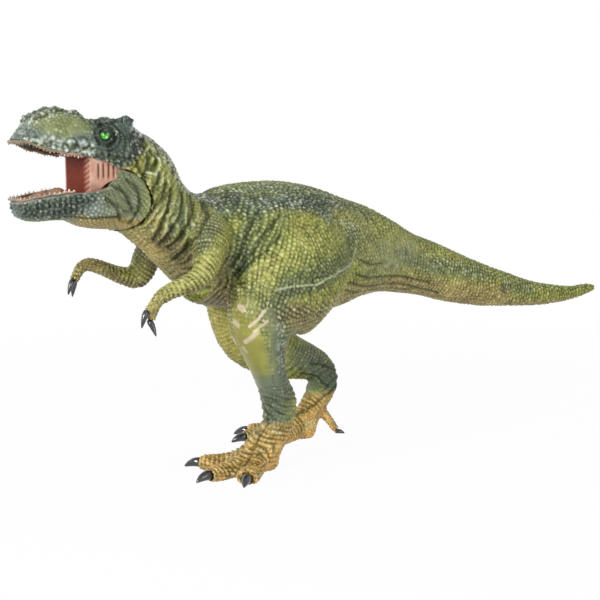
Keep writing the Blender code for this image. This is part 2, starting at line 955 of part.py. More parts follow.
def fit_claws(limb, claws, finish):
    """Seats each claw in a socket of its limb."""
    for name, start, direction, length, radius in claws:
        claw = loft(name, hook_rows(start, direction, length, radius), parts, 8, 1)
        socket = loft(name + "_socket", hook_rows(start, direction, length, radius, glue_gap), guides, 8, 1)
        cut(limb, socket)
        dress(claw, finish)


def make_torso(mesh, finish, arm_sockets, leg_seats):
    torso = casting("torso", mesh, finish)
    cut(torso, head_zone("neck_face", glue_gap))
    cut(torso, tail_zone("tail_face", glue_gap))
    for name, seat, side_sign in leg_seats:
        cut(torso, leg_zone(name + "_seat", seat, side_sign, glue_gap))
    for socket in arm_sockets:
        cut(torso, socket)
    centre, direction = neck_seam()
    deep = centre - direction * (peg_length + glue_gap)
    cut(torso, rod("neck_socket", peg_radius + glue_gap, centre + direction * overrun, deep, guides))
    start, end = tail_peg_ends(glue_gap)
    cut(torso, rod("tail_socket", peg_radius + glue_gap, start, end, guides))
    trim_flash(torso)
    return torso


def tail_peg_ends(margin):
    y = hip_y + tail_seam_share * tail_reach
    along, drop = tail_shares[6][:2]
    z = hip_height + drop * tail_drop
    return (0, y + overrun, z), (0, y - peg_length - margin, z)


def make_tail(mesh, finish):
    tail = casting("tail", mesh, finish)
    keep(tail, tail_zone("tail_zone", 0))
    start, end = tail_peg_ends(0)
    join(tail, rod("tail_peg", peg_radius, start, end, guides))
    return tail


def make_leg(name, mesh, finish, seat, side_sign, claws, claw_finish):
    leg = casting(name, mesh, finish)
    keep(leg, leg_zone(name + "_zone", seat, side_sign, 0))
    size = tail_reach
    cut(leg, block(name + "_floor", (-size, -size, -size), (size, size, 0), guides))
    fit_claws(leg, claws, claw_finish)
    trim_flash(leg)
    return leg


def make_head(mesh, finish):
    head = casting("head", mesh, finish)
    keep(head, head_zone("head_zone", 0))
    cut(head, prism("mouth_opening", mouth_outline(), skull_width * 2))
    cut(head, jaw_zone("jaw_pocket", run_gap))
    lug_reach = lug_half_width
    lug = prism("lug", lug_outline(), lug_reach)
    join(lug, cross_rod("lug_nose", lug_nose, lug_reach, lug_reach, guides))
    join(head, lug)
    bore = pin_radius + pin_run_gap
    cut(head, cross_rod("lug_bore", bore, lug_reach * beyond, lug_reach * beyond, guides))
    lining_space = lining_half_width + glue_gap
    cut(head, prism("lining_pocket", lining_outline(glue_gap), lining_space))
    rows = []
    for y, low, high, side in skull_sections()[2:6]:
        rows.append((0, y, low, side - palate_wall, palate_depth))
    cut(head, loft("palate", rows, guides, 16, 2, 3.0, upright=True))
    for name, place in (("left_eye", eye_place(1)), ("right_eye", eye_place(-1))):
        cut(head, ball(name + "_socket", eye_radius + glue_gap, place, guides))
    centre, direction = neck_seam()
    start = centre + direction * overrun
    join(head, rod("neck_peg", peg_radius, start, centre - direction * peg_length, guides))
    return head


def eye_place(side_sign):
    y, low, high, side = skull_sections()[7]
    inward, back, rise = eye_share
    x = side_sign * (side - eye_radius * inward)
    return Vector((x, y - eye_radius * back, low + (high - low) * rise))


def make_jaw(mesh, finish):
    jaw = casting("lower_jaw", mesh, finish)
    keep(jaw, jaw_zone("jaw_zone", 0))
    cut(jaw, prism("mouth_gap", mouth_outline(), skull_width * 2))
    space = lining_half_width + run_gap
    low = (-space, jaw_pivot_y - lining_front - lining_sweep, jaw_floor_z)
    high = (space, jaw_pivot_y + lining_back + run_gap, jaw_pivot_z + lining_top)
    cavity = block("jaw_cavity", low, high, guides)
    cut(cavity, cross_rod("hub", hub_radius, space * beyond, space * beyond, guides))
    cut(jaw, cavity)
    rows = []
    for y, under, lip, side in jaw_sections()[2:7]:
        top = lip + overrun
        rows.append((0, y, (jaw_floor_z + top) / 2, side - jaw_wall, (top - jaw_floor_z) / 2))
    cut(jaw, loft("jaw_hollow", rows, guides, 20, 2, 4.0, upright=True))
    slot_space = lug_half_width + run_gap
    slot = prism("lug_slot", slot_outline(), slot_space)
    join(slot, cross_rod("lug_slot_nose", lug_nose + run_gap, slot_space, slot_space, guides))
    cut(jaw, slot)
    bore = pin_radius + pin_run_gap
    cut(jaw, cross_rod("jaw_bore", bore, pin_left + run_gap, pin_right + overrun, guides))
    return jaw


def make_tongue(finish):
    sections = jaw_sections()
    back = sections[5][0] - jaw_wall / 2
    front = sections[2][0] + jaw_wall / 2
    rows = []
    for along, side, rise in tongue_shares:
        y = front + (back - front) * along
        rows.append((0, y, jaw_floor_z, side * tongue_half_width, rise * tongue_height))
    tongue = loft("tongue", rows, parts, 16, 2, 2.4, upright=True)
    size = tail_reach
    low = (-size, -size, -size)
    cut(tongue, block("tongue_foot", low, (size, size, jaw_floor_z + glue_gap * 2), guides))
    dress(tongue, finish)
    return tongue


def make_lining(finish):
    lining = prism("mouth_lining", lining_outline(0), lining_half_width)
    guides.objects.unlink(lining)
    parts.objects.link(lining)
    lining.hide_render = False
    lining.display_type = "TEXTURED"
    space = lining_half_width * beyond
    cut(lining, cross_rod("hub_space", hub_radius + run_gap, space, space, guides))
    dress(lining, finish)
    return lining


clear_scene()
parts = collection("toy_dinosaur")
guides = collection("cutters")
finishes = make_finishes()
left_toes, left_claws = foot_parts(
    "left_", left_ball_share, left_bearings, left_hallux_share, left_hallux_bearing
)
right_toes, right_claws = foot_parts(
    "right_", right_ball_share, right_bearings, right_hallux_share, right_hallux_bearing
)
skins = [
    loft("body", body_rows(), guides),
    loft("neck", neck_rows(), guides),
    loft("skull", upright_rows(skull_sections(), lip_trim, 0), guides, boxy=2.6, upright=True),
    loft("chin", upright_rows(jaw_sections(), 0, lip_trim), guides, boxy=2.6, upright=True),
    loft("left_limb", leg_rows(left_leg_shares, 1), guides),
    loft("right_limb", leg_rows(right_leg_shares, -1), guides),
    loft("left_tendon", tendon_rows(1, 0), guides, 10),
    loft("right_tendon", tendon_rows(-1, right_tendon_back_share), guides, 10),
]
skins += knobs(1) + knobs(-1) + left_toes + right_toes
sculpt = sculpted("sculpt", skins, voxel, sculpt_rounds, sculpt_share_kept)
arm_sockets = []
for prefix, shares, side_sign, fingers in (
    ("left_", left_arm_shares, 1, left_fingers),
    ("right_", right_arm_shares, -1, right_fingers),
):
    arm_skins, hand_claws = arm_parts(prefix, shares, side_sign, fingers)
    arm_mesh = sculpted(prefix + "arm_sculpt", arm_skins, fine_voxel, 2, arm_share_kept)
    arm = casting(prefix + "arm", arm_mesh, finishes["skin"])
    fit_claws(arm, hand_claws, finishes["claw"])
    seat = grown(arm_rows(shares, side_sign)[:5], glue_gap)
    arm_sockets.append(loft(prefix + "arm_socket", seat, guides, 20, 2))
left_seat = thigh_seat("left_leg", left_leg_shares, 1)
right_seat = thigh_seat("right_leg", right_leg_shares, -1)
leg_seats = (("left_leg", left_seat, 1), ("right_leg", right_seat, -1))
make_torso(sculpt, finishes["skin"], arm_sockets, leg_seats)
make_tail(sculpt, finishes["skin"])
make_leg("left_leg", sculpt, finishes["skin"], left_seat, 1, left_claws, finishes["claw"])
make_leg("right_leg", sculpt, finishes["skin"], right_seat, -1, right_claws, finishes["claw"])
make_head(sculpt, finishes["slate"])
make_jaw(sculpt, finishes["slate"])
make_lining(finishes["mouth"])
make_tongue(finishes["tongue"])
teeth("upper_teeth", tooth_row(skull_sections()), 1, -1, upper_tooth_count, finishes["tooth"])
teeth("lower_teeth", jaw_sections()[1:6], 2, 1, lower_tooth_count, finishes["tooth"])
dress(cross_rod("jaw_pin", pin_radius, pin_left, pin_right, parts, 20), finishes["pin"])
for name in ("lower_jaw", "tongue", "lower_teeth"):
    hang(parts.objects[name])
for name, side_sign in (("left_eye", 1), ("right_eye", -1)):
    dress(ball(name, eye_radius, eye_place(side_sign), parts), finishes["eye"])
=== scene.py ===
"""Dresses a toy dinosaur figure as painted vinyl: scaled hide, claws, teeth, eyes and mouth."""

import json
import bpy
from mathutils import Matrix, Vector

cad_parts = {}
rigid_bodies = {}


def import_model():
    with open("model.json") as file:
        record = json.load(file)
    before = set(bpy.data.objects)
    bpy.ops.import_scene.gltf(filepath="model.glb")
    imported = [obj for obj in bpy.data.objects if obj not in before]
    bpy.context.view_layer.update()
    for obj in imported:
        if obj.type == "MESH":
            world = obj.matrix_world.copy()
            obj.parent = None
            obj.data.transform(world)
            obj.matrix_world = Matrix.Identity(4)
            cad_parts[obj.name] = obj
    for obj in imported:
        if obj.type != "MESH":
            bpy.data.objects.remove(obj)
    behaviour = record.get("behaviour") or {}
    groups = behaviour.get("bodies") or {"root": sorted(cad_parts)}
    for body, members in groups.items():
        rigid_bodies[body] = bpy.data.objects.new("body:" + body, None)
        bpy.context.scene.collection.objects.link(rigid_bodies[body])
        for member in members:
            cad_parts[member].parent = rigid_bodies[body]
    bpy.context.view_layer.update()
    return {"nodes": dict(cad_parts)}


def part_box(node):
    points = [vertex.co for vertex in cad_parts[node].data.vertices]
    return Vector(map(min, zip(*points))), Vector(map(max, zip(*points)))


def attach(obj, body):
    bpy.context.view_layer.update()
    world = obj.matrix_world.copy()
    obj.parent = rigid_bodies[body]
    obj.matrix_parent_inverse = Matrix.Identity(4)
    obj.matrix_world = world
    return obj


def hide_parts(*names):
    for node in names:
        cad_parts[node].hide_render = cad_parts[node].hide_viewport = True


bl_info = {
    "name": "Painted dinosaur figure",
    "version": (1, 0, 0),
    "blender": (4, 5, 0),
    "location": "3D View > Sidebar > Figure",
    "description": "Sculpts and paints the hide, claws, teeth, eyes and mouth of a toy dinosaur",
    "category": "Mesh",
}

from math import pi

import bpy
import numpy as np
from bpy.props import FloatProperty, FloatVectorProperty, IntProperty
from mathutils import Vector
from mathutils.bvhtree import BVHTree
from mathutils.kdtree import KDTree

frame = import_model()

# All sculpting is in millimetres: x to the figure's left, y from snout to tail, z up. A side
# is 0 for both sides, 1 for the left one and -1 for the right one
MM = 1000
FAR = 1e9

CASTINGS = ["torso", "tail", "head", "left_leg", "right_leg", "left_arm", "right_arm"]
HAND_CLAWS = ("hand_claw_1", "hand_claw_2")
FOOT_CLAWS = ("foot_inner_claw", "foot_middle_claw", "foot_outer_claw", "foot_back_claw")
CLAWS = [side + claw for side in ("left_", "right_") for claw in HAND_CLAWS + FOOT_CLAWS]
EYES = {"left_eye": 1, "right_eye": -1}

# Welding distances in metres, and how far a fairing round relaxes and swells back
WELD = 0.000002
GUM_WELD = 0.000005
RELAX = 0.63
SWELL_BACK = 0.65

# Spacing of the spots of a stroke, of grooves, folds and ribs, and of rows of scales
STROKE_STEP = 1.5
TOE_STEP = 1.8
ANKLE_STEP = 3.1
NECK_STEP = 2.9
BELLY_STEP = 2.3
RIB_STEP = 1.9
LIMB_STEP = 1.7

# Middle line of the figure from the snout to the tail tip: y, z
SPINE = [
    (-148, 126), (-124, 124), (-110, 118), (-99, 107), (-88, 96), (-74, 89), (-56, 86), (-30, 85),
    (0, 82), (30, 76), (60, 66), (90, 59), (120, 55), (140, 55), (149, 57),
]
# Middle lines of the limbs, and the balls of the feet
LIMB_LINES = {
    "left_leg": [(19, -38, 98), (22, -55, 62), (19, -52, 32), (15, -58, 5)],
    "right_leg": [(-19, -38, 98), (-22, -44, 60), (-21, -8, 32), (-20, 0, 18), (-20, -13, 5)],
    "left_arm": [(11, -73, 97), (24, -85, 81), (26, -96, 73), (25, -107, 70), (25, -108, 62)],
    "right_arm": [
        (-11, -73, 95), (-25, -88, 71), (-26, -103, 76), (-25, -112, 78), (-25, -115, 70),
    ],
}
BALLS = {"left_": (15, -58, 6), "right_": (-20, -14, 6)}
# Brown laid over each whole arm, more on the far arm as painted shade
ARM_BROWN_AND_SHADE = {"left_arm": 0.12, "right_arm": 0.3}

# Places on the head, and on the root of the tail
MOUTH_CORNER = (0, -110, 114)
EAR = (0, -106.5, 125.5)
NOSTRILS = ((3.6, -145.2, 130.5), (-3.6, -145.2, 130.5))
TAIL_ROOT = (0, 12, 81)
# Edge of the dark head paint: z, y
HEAD_EDGE = ([108, 113, 117, 121, 126, 130, 136], [-124, -118, -110, -105, -103, -98, -92])
# Edges of the lips, y and z, and half the width between them, y and x
UPPER_LIP = ([-148, -140, -128, -120, -112], [126, 123.6, 121, 119, 117])
LOWER_LIP = ([-148, -140, -130, -122, -115], [104.8, 106.2, 107.6, 108.8, 110.5])
LIP_WIDTH = (
    [-148, -146, -144, -140, -134, -129, -123, -117, -110],
    [4, 6.3, 8.4, 9.6, 10.8, 11.6, 12.4, 13.4, 14],
)
# Rings round an eye: distance from its middle, height, wash that paints shade in the ditch, slate
# paint, only behind it
EYE_FOLDS = (
    (2.6, 0.6, 0, 0, False), (3.7, -0.5, 0.8, 0, False),
    (4.7, 0.4, 0, 0.5, True), (5.6, -0.5, 0.7, 0, True),
)
# Where the left eye looks, and its pupil and glint: direction, reach in degrees, paint
GAZE = (0.84, -0.54, 0.05)
EYE_SPOTS = (((0.84, -0.48, 0.28), 15, "black"), ((0.90, -0.22, -0.34), 8, "mist"))
# Rows of teeth: body, 1 for rising or -1 for hanging, lift and radius of the gum, steps from
# tooth to tooth, least size
TEETH = {
    "upper_teeth": ("figure", -1, -0.05, 0.55, 5, 0.65),
    "lower_teeth": ("jaw", 1, 0.3, 0.45, 7, 1.05),
}
TOOTH_SINK = 0.0002
# Mounds of the tongue: y, height
TONGUE_MOUNDS = ((-139, 1.3), (-131, 1.7))

# Creases pressed into the hide and washed dark as painted shade: side, width, depth, points
CREASES = [
    (0, 0.7, 0.6, [(10, -116, 131), (13, -115, 128), (13, -116, 125), (13, -118, 124)]),
    (0, 0.6, 0.4, [(11, -113, 130), (13, -111, 127), (13, -112, 123)]),
    (0, 1.3, 1.2, [(12, -103, 125), (13, -102, 121), (13, -102, 118), (14, -104, 114)]),
    (0, 1.0, 1.0, [(11, -97, 122), (13, -99, 118), (14, -101, 116)]),
    (0, 0.9, 0.9, [(14, -98, 114), (15, -101, 109), (14, -103, 104)]),
    (0, 0.9, 0.9, [(14, -96, 111), (15, -98, 106), (14, -102, 101), (11, -105, 96)]),
    (0, 0.9, 0.9, [(15, -94, 109), (16, -96, 103), (15, -98, 96), (9, -99, 90)]),
    (0, 0.8, 0.7, [(14, -89, 108), (16, -91, 101), (16, -94, 95), (10, -97, 88)]),
    (0, 0.9, 0.9, [(12, -85, 106), (16, -86, 100), (17, -90, 93), (11, -94, 87)]),
    (0, 1.0, 1.0, [(11, -79, 104), (18, -81, 99), (21, -86, 92), (14, -89, 86), (9, -91, 82)]),
    (0, 0.8, 0.5, [(20, -60, 101), (22, -65, 95), (23, -69, 88), (21, -73, 80)]),
    (0, 0.8, 0.6, [(26, -55, 99), (27, -60, 94), (26, -65, 87), (21, -72, 77)]),
    (0, 0.6, 0.4, [(30, -57, 92), (29, -63, 86), (22, -72, 76)]),
    (0, 0.6, 0.5, [(19, -14, 74), (17, -4, 71), (15, 8, 70), (12, 20, 69), (10, 34, 66)]),
    (0, 0.6, 0.5,
     [(19, -17, 71), (16, -6, 67), (13, 6, 65), (11, 18, 65), (9, 30, 62), (7, 42, 60)]),
    (0, 0.5, 0.4, [(18, -17, 67), (14, -4, 63), (10, 10, 61), (8, 26, 60)]),
    (0, 0.5, 0.4, [(22, -14, 80), (19, -6, 77), (16, 2, 77)]),
    (1, 0.6, 0.7, [(18, -55, 26), (19, -58, 20), (20, -63, 13), (23, -70, 8)]),
    (1, 0.5, 0.6, [(10, -60, 14), (8, -66, 9), (6, -70, 6)]),
    (-1, 0.6, 0.6, [(-16, 2, 22), (-16, -8, 14), (-17, -18, 11), (-18, -26, 8)]),
    (-1, 0.6, 0.5, [(-14, -16, 28), (-14, -9, 26), (-15, -2, 22)]),
    (-1, 0.6, 0.5, [(-14, -12, 33), (-15, -4, 31), (-17, 4, 26)]),
    (0, 0.9, 0.9, [(12, -107, 118), (13, -104, 112), (12, -105, 106), (10, -108, 100)]),
    (0, 0.7, 0.7, [(13, -100, 124), (14, -98, 120), (15, -99, 115)]),
]
# Raised tendons, painted pale along the crest, partly as a painted highlight: side, width, height,
# points
TENDONS = [
    (0, 0.5, 0.5,
     [(13, -104, 121), (12, -101, 124), (10, -98, 123), (12, -97, 118), (14, -100, 114),
      (14, -103, 115)]),
    (0, 0.42, 0.6,
     [(22, -16, 84), (26, -22, 79), (32, -34, 76), (35, -45, 73), (35, -56, 73), (34, -62, 72)]),
]
# Rows of knobs on the head: spacing, radius, height, points
KNOBS = [
    (2.3, 1.3, 0.55, [(9, -124, 132), (10, -118, 133), (10, -112, 134), (9, -107, 133)]),
    (2.1, 1.2, 0.45, [(5, -143, 133), (6, -137, 136), (6, -131, 137), (7, -125, 135)]),
    (2.1, 1.2, 0.45, [(1, -143, 134), (1, -137, 137), (1, -130, 138), (1, -124, 135)]),
    (3.0, 1.9, 0.6, [(11, -135, 125), (11, -131, 125), (12, -127, 125), (12, -123, 125)]),
    (2.2, 1.2, 0.5, [(12, -121, 122), (13, -116, 121), (13, -111, 121), (13, -107, 120)]),
    (2.2, 1.1, 0.4, [(13, -117, 119), (13, -112, 118), (13, -108, 118)]),
]
JAW_KNOBS = [
    (2.1, 1.0, 0.45,
     [(4, -147, 103), (8, -144, 103), (10, -138, 104), (11, -130, 105), (12, -124, 106)]),
    (2.1, 0.9, 0.4, [(5, -146, 100), (8, -142, 100), (9, -136, 101), (11, -130, 102)]),
]
JAW_CREASES = [
    (0, 0.6, 0.6, [(7, -137, 98), (9, -129, 98), (11, -121, 99), (12, -114, 99)]),
    (0, 0.7, 0.6, [(13, -117, 112), (14, -112, 108), (13, -109, 102)]),
    (0, 0.6, 0.5, [(14, -111, 113), (14, -107, 108), (13, -106, 103), (10, -109, 97)]),
    (0, 0.6, 0.5, [(13, -119, 106), (13, -115, 103), (12, -113, 98)]),
]
# Airbrush strokes: paint, side, width, strength, points. The strokes noted below also paint shade.
STROKES = [
    ("teal", 0, 6.5, 0.85,
     [(13, -72, 104), (19, -58, 104), (20, -46, 102), (20, -32, 101), (17, -18, 99), (13, -5, 95)]),
    ("deep", 0, 5.5, 0.8, [(20, -54, 104), (22, -44, 103), (18, -34, 103), (15, -24, 101)]),
    ("teal", 0, 7.0, 0.3, [(5, -72, 108), (7, -52, 110), (8, -30, 107), (8, -14, 102)]),
    ("light", 0, 9.0, 0.9, [(20, -18, 93), (18, -6, 90), (16, 6, 85), (12, 20, 80)]),
    ("light", 0, 7.5, 0.55, [(22, -14, 85), (19, -4, 81), (16, 8, 77)]),
    ("deep", 0, 4.0, 0.8, [(4, -80, 108), (9, -76, 107), (12, -68, 105)]),
    ("teal", 0, 5.0, 0.7, [(22, -62, 100), (24, -67, 90), (22, -72, 80)]),
    ("teal", 0, 3.5, 0.6, [(28, -56, 97), (28, -62, 90), (24, -69, 82)]),
    ("teal", 0, 4.5, 0.75,
     [(21, -15, 88), (27, -24, 81), (33, -36, 78), (35, -48, 76), (35, -58, 75)]),
    ("deep", 0, 2.2, 0.5, [(34, -42, 73), (35, -52, 71), (34, -58, 70)]),
    ("leaf", 0, 5.0, 0.4,
     [(21, -15, 88), (27, -24, 81), (33, -36, 78), (35, -48, 76), (35, -58, 75)]),
    ("teal", 0, 4.5, 0.6, [(15, -88, 104), (17, -90, 97), (14, -94, 90)]),
    ("teal", 0, 3.5, 0.5, [(14, -80, 104), (19, -83, 98), (19, -88, 91)]),
    # Brown behind the arms: painted shade
    ("brown", 0, 5.5, 0.75, [(18, -77, 79), (17, -74, 73), (15, -71, 68)]),
    ("brown", 0, 6.0, 0.6, [(14, -92, 84), (15, -86, 76), (12, -78, 68)]),
    ("grey", 0, 9.0, 0.6, [(19, -9, 88), (19, -4, 80), (16, 6, 73)]),
    ("grey", 0, 8.0, 0.4, [(16, 6, 80), (14, 20, 75), (12, 36, 71)]),
    # Leaf green and brown over the shoulder folds: painted shade between them
    ("leaf", 0, 6.0, 0.85, [(19, -82, 101), (22, -85, 95), (23, -86, 89), (22, -84, 84)]),
    ("brown", 0, 5.0, 0.55, [(18, -84, 100), (22, -86, 93), (22, -86, 86)]),
    ("leaf", 1, 7.0, 0.75, [(28, -74, 72), (32, -72, 66), (36, -64, 65), (36, -56, 66)]),
    ("brown", 1, 6.0, 0.3, [(26, -76, 70), (32, -72, 66), (36, -64, 66)]),
    ("steel", 0, 4.5, 0.5, [(13, -103, 113), (14, -101, 107), (14, -101, 101), (12, -103, 95)]),
    # Brown on the far arm: brown paint and painted shade
    ("brown", -1, 5.0, 0.7, [(-25, -100, 77), (-25, -110, 79), (-25, -115, 73)]),
    ("deep", 0, 4.0, 0.5, [(24, -55, 102), (25, -46, 102), (24, -40, 103), (25, -34, 99)]),
    # Brown under the left thigh: brown paint and painted shade
    ("brown", 1, 6.0, 0.7, [(36, -56, 62), (34, -48, 60), (30, -40, 60)]),
    ("teal", 0, 4.0, 0.5, [(14, 14, 80), (12, 30, 75), (10, 50, 71), (8, 66, 68)]),
    ("tan", 0, 6.0, 0.9, [(10, 4, 62), (10, 20, 62), (9, 40, 61), (8, 60, 59), (7, 80, 57)]),
    ("deep", 0, 3.0, 0.5, [(8, 80, 62), (7, 100, 58)]),
    ("tan", 0, 5.0, 0.7, [(27, -29, 64), (25, -25, 60), (18, -22, 56)]),
    ("shin", 1, 7.0, 0.95, [(22, -76, 66), (25, -73, 58), (24, -69, 48), (20, -63, 37)]),
    ("steel", 1, 4.6, 0.95,
     [(36, -64, 66), (35, -63, 58), (33, -60, 50), (30, -57, 42), (27, -55, 36)]),
    ("steel", 1, 6.0, 0.9,
     [(33, -54, 58), (30, -52, 48), (24, -45, 44), (20, -44, 34), (16, -46, 26)]),
    ("steel", 1, 9.0, 0.95, [(24, -57, 32), (20, -57, 27), (19, -56, 23)]),
    ("deep", 1, 2.5, 0.45, [(34, -61, 55), (31, -58, 46), (28, -54, 38)]),
    ("deep", 1, 8.0, 0.4, [(24, -54, 30), (22, -52, 24)]),
    ("brown", -1, 5.0, 0.5, [(-16, -6, 5), (-16, 0, 7), (-18, 4, 10)]),
    ("leaf", 0, 8.0, 0.6, [(30, -62, 92), (34, -52, 84), (35, -62, 76), (35, -68, 70)]),
    # Deep teal over the shoulder: painted shade
    ("deep", 0, 4.0, 0.55, [(18, -78, 99), (22, -82, 95), (23, -85, 90), (21, -82, 84)]),
    ("brown", 0, 5.0, 0.85, [(11, -96, 90), (13, -92, 88), (15, -90, 84), (15, -86, 80)]),
    # Brown under the left thigh, with a tan edge: brown paint and painted shade
    ("brown", 1, 4.5, 0.7, [(36, -58, 63), (35, -53, 61), (33, -50, 56), (31, -49, 50)]),
    ("tan", 1, 3.0, 0.4, [(35, -55, 61), (33, -51, 57)]),
    ("deep", 1, 3.5, 0.5, [(36, -56, 73), (36, -62, 69), (36, -64, 65)]),
    ("deep", 0, 4.5, 0.55, [(30, -30, 80), (34, -38, 77), (36, -48, 75), (36, -57, 74)]),
    ("deep", 0, 3.5, 0.45, [(15, -94, 106), (17, -93, 100), (16, -93, 94)]),
    # Deep teal down the far leg: teal paint and painted shade
    ("deep", -1, 6.0, 0.7, [(-18, 0, 24), (-22, -8, 25), (-24, 0, 24)]),
    ("deep", -1, 8.0, 0.75, [(-14, -16, 36), (-16, -4, 30), (-18, 2, 25)]),
    ("deep", -1, 7.0, 0.75, [(-26, -16, 38), (-26, -4, 30), (-24, 2, 25)]),
    ("shin", -1, 9.0, 0.6, [(-22, -56, 60), (-20, -48, 42), (-20, -38, 38)]),
    ("light", 0, 3.5, 0.25, [(12, -84, 110), (16, -80, 104), (21, -76, 98)]),
    ("light", 0, 5.0, 0.5, [(32, -45, 90), (34, -55, 84), (32, -66, 78)]),
    ("light", 0, 4.5, 0.8, [(28, -85, 83), (29, -89, 79), (28, -97, 77), (27, -106, 74)]),
    ("straw", 0, 4.0, 0.3, [(28, -90, 79), (27, -100, 77), (27, -107, 73), (26, -109, 66)]),
    ("slate", 1, 9.0, 0.45, [(24, -57, 33), (20, -57, 26), (19, -56, 22)]),
    ("slate", -1, 8.0, 0.45, [(-18, -8, 36), (-22, 0, 30), (-22, -2, 24)]),
    ("brown", 1, 8.0, 0.2, [(28, -72, 72), (34, -66, 68)]),
    ("leaf", 0, 5.5, 0.35, [(30, -30, 82), (34, -42, 79), (36, -54, 76)]),
    ("gold", -1, 8.0, 0.15, [(-22, -56, 60), (-20, -53, 50), (-19, -50, 44)]),
]
# Bare glossy spots of the left knee, painted pale rose as painted reflections: width, strength,
# points
KNEE_GLOSS_AND_HIGHLIGHTS = [
    (1.0, 0.45, [(26, -73, 66), (28, -73, 65)]),
    (1.2, 0.4, [(24, -74, 60), (26, -74, 59)]),
    (1.0, 0.4, [(20, -72, 53), (20, -71, 51)]),
    (0.8, 0.3, [(25, -71, 50), (25, -69, 49)]),
    (0.7, 0.6, [(34, -67, 65), (33, -69, 62), (30, -71, 59)]),
    (0.5, 0.6, [(34, -66, 61), (32, -69, 58), (31, -70, 57)]),
    (0.9, 0.5, [(32, -69, 57), (30, -70, 55), (27, -71, 53)]),
]
# Varnished bands down the left shin: where they end and where they are full, points
BARE_BANDS = [
    (6.5, 5.0, [(28, -73, 64), (28, -71, 56), (27, -68, 48), (24, -64, 41), (21, -62, 35)]),
    (2.3, 1.5, [(35, -65, 64), (35, -64, 58), (33, -61, 50), (30, -58, 42), (27, -56, 36)]),
]
# Painted highlights, pale glints laid on the scales: width, strength, points
GLINTS = {
    "nape": (4.0, 1.0,
     [(9, -104, 131), (6, -97, 127), (7, -94, 124), (9, -92, 120), (10, -88, 113),
      (9, -84, 109), (6, -76, 107)]),
    "snout": (3.2, 1.0, [(3, -144, 133), (6, -139, 135), (6, -133, 137), (6, -128, 136)]),
    "cheek": (2.6, 1.0, [(7, -145, 124), (10, -139, 125), (11, -131, 124), (12, -124, 123)]),
    "jowl": (3.0, 0.6, [(12, -122, 119), (13, -117, 118), (14, -112, 119), (13, -107, 124)]),
    "nose": (3.0, 0.6, [(3, -148, 129), (2, -148, 126)]),
    "flank": (6.0, 0.7,
     [(18, -58, 104), (22, -50, 103), (24, -40, 103), (24, -28, 98), (20, -18, 94)]),
    "shoulder": (4.0, 0.5, [(12, -76, 104), (18, -72, 101)]),
    "tail": (4.0, 0.5, [(10, 36, 76), (9, 52, 72), (8, 70, 67)]),
    "back": (5.0, 0.8,
     [(6, -74, 108), (8, -62, 108), (10, -48, 108), (10, -34, 105), (10, -20, 100)]),
    "tail_ridge": (3.0, 0.25, [(8, 30, 76), (7, 60, 69), (5, 90, 63), (3, 120, 58)]),
    "shank": (2.5, 0.6, [(35, -61, 60), (33, -58, 50), (30, -55, 41)]),
}
HEAD_SHINE = {"nape": 0.3, "snout": 0.2, "cheek": 0.65, "jowl": 0.3, "nose": 0.3}

# Tint of the dark wash, which also stands for the shade in grooves, creases and pits
WASH_AND_SHADE_TINT = (0.20, 0.22, 0.13, 1)
WHITE = (1, 1, 1, 1)
FLOOR_WHITE = 0.965
# Soft lights in metres: setting that gives the power, place, width
LAMPS = (
    ("key", (0.30, -0.78, 0.36), 0.2),
    ("fill", (-0.7, -0.5, 0.3), 0.6),
    ("side", (0.8, 0.05, 0.22), 0.4),
    ("glint", (-0.12, 0.18, 0.87), 0.07),
)
LAMP_AIM = (0, -0.02, 0.07)
CAMERA_PLACE = (0.4020, -0.3159, 0.1240)
CAMERA_AIM = (0, -0.027, 0.0624)


def only(item):
    """Selects one object and nothing else."""
    bpy.ops.object.select_all(action="DESELECT")
    item.select_set(True)
    bpy.context.view_layer.objects.active = item


def edit(item, *steps):
    """Runs mesh operators, each with its settings, on the whole of one object."""
    only(item)
    bpy.ops.object.mode_set(mode="EDIT")
    bpy.ops.mesh.select_all(action="SELECT")
    for operator, settings in steps:
        operator(**settings)
    bpy.ops.object.mode_set(mode="OBJECT")


def join(pieces):
    """Joins pieces into the first one."""
    only(pieces[0])
    for piece in pieces:
        piece.select_set(True)
    bpy.ops.object.join()
    return pieces[0]


def apply_place(item):
    """Leaves an object at the origin, unturned and unscaled, with its place in its mesh."""
    only(item)
    bpy.ops.object.transform_apply(location=True, rotation=True, scale=True)


def apply_modifier(item, kind, **settings):
    only(item)
    bpy.ops.object.modifier_add(type=kind)
    change = item.modifiers[-1]
    for key, value in settings.items():
        setattr(change, key, value)
    bpy.ops.object.modifier_apply(modifier=change.name)


def copy_of(node, name):
    """A welded copy of a solid of the figure."""
    piece = bpy.data.objects.new(name, frame["nodes"][node].data.copy())
    bpy.context.scene.collection.objects.link(piece)
    piece.data.materials.clear()
    edit(piece, (bpy.ops.mesh.remove_doubles, {"threshold": WELD}))
    return piece


def sculpt_copy(node, name, grain, rounds, share):
    """A finely remeshed and faired copy of a solid, ready to sculpt."""
    piece = copy_of(node, name)
    apply_modifier(piece, "REMESH", mode="VOXEL", voxel_size=grain)
    keep_outer_body(piece)
    soften(piece, rounds, np.full(len(piece.data.vertices), share))
    return piece


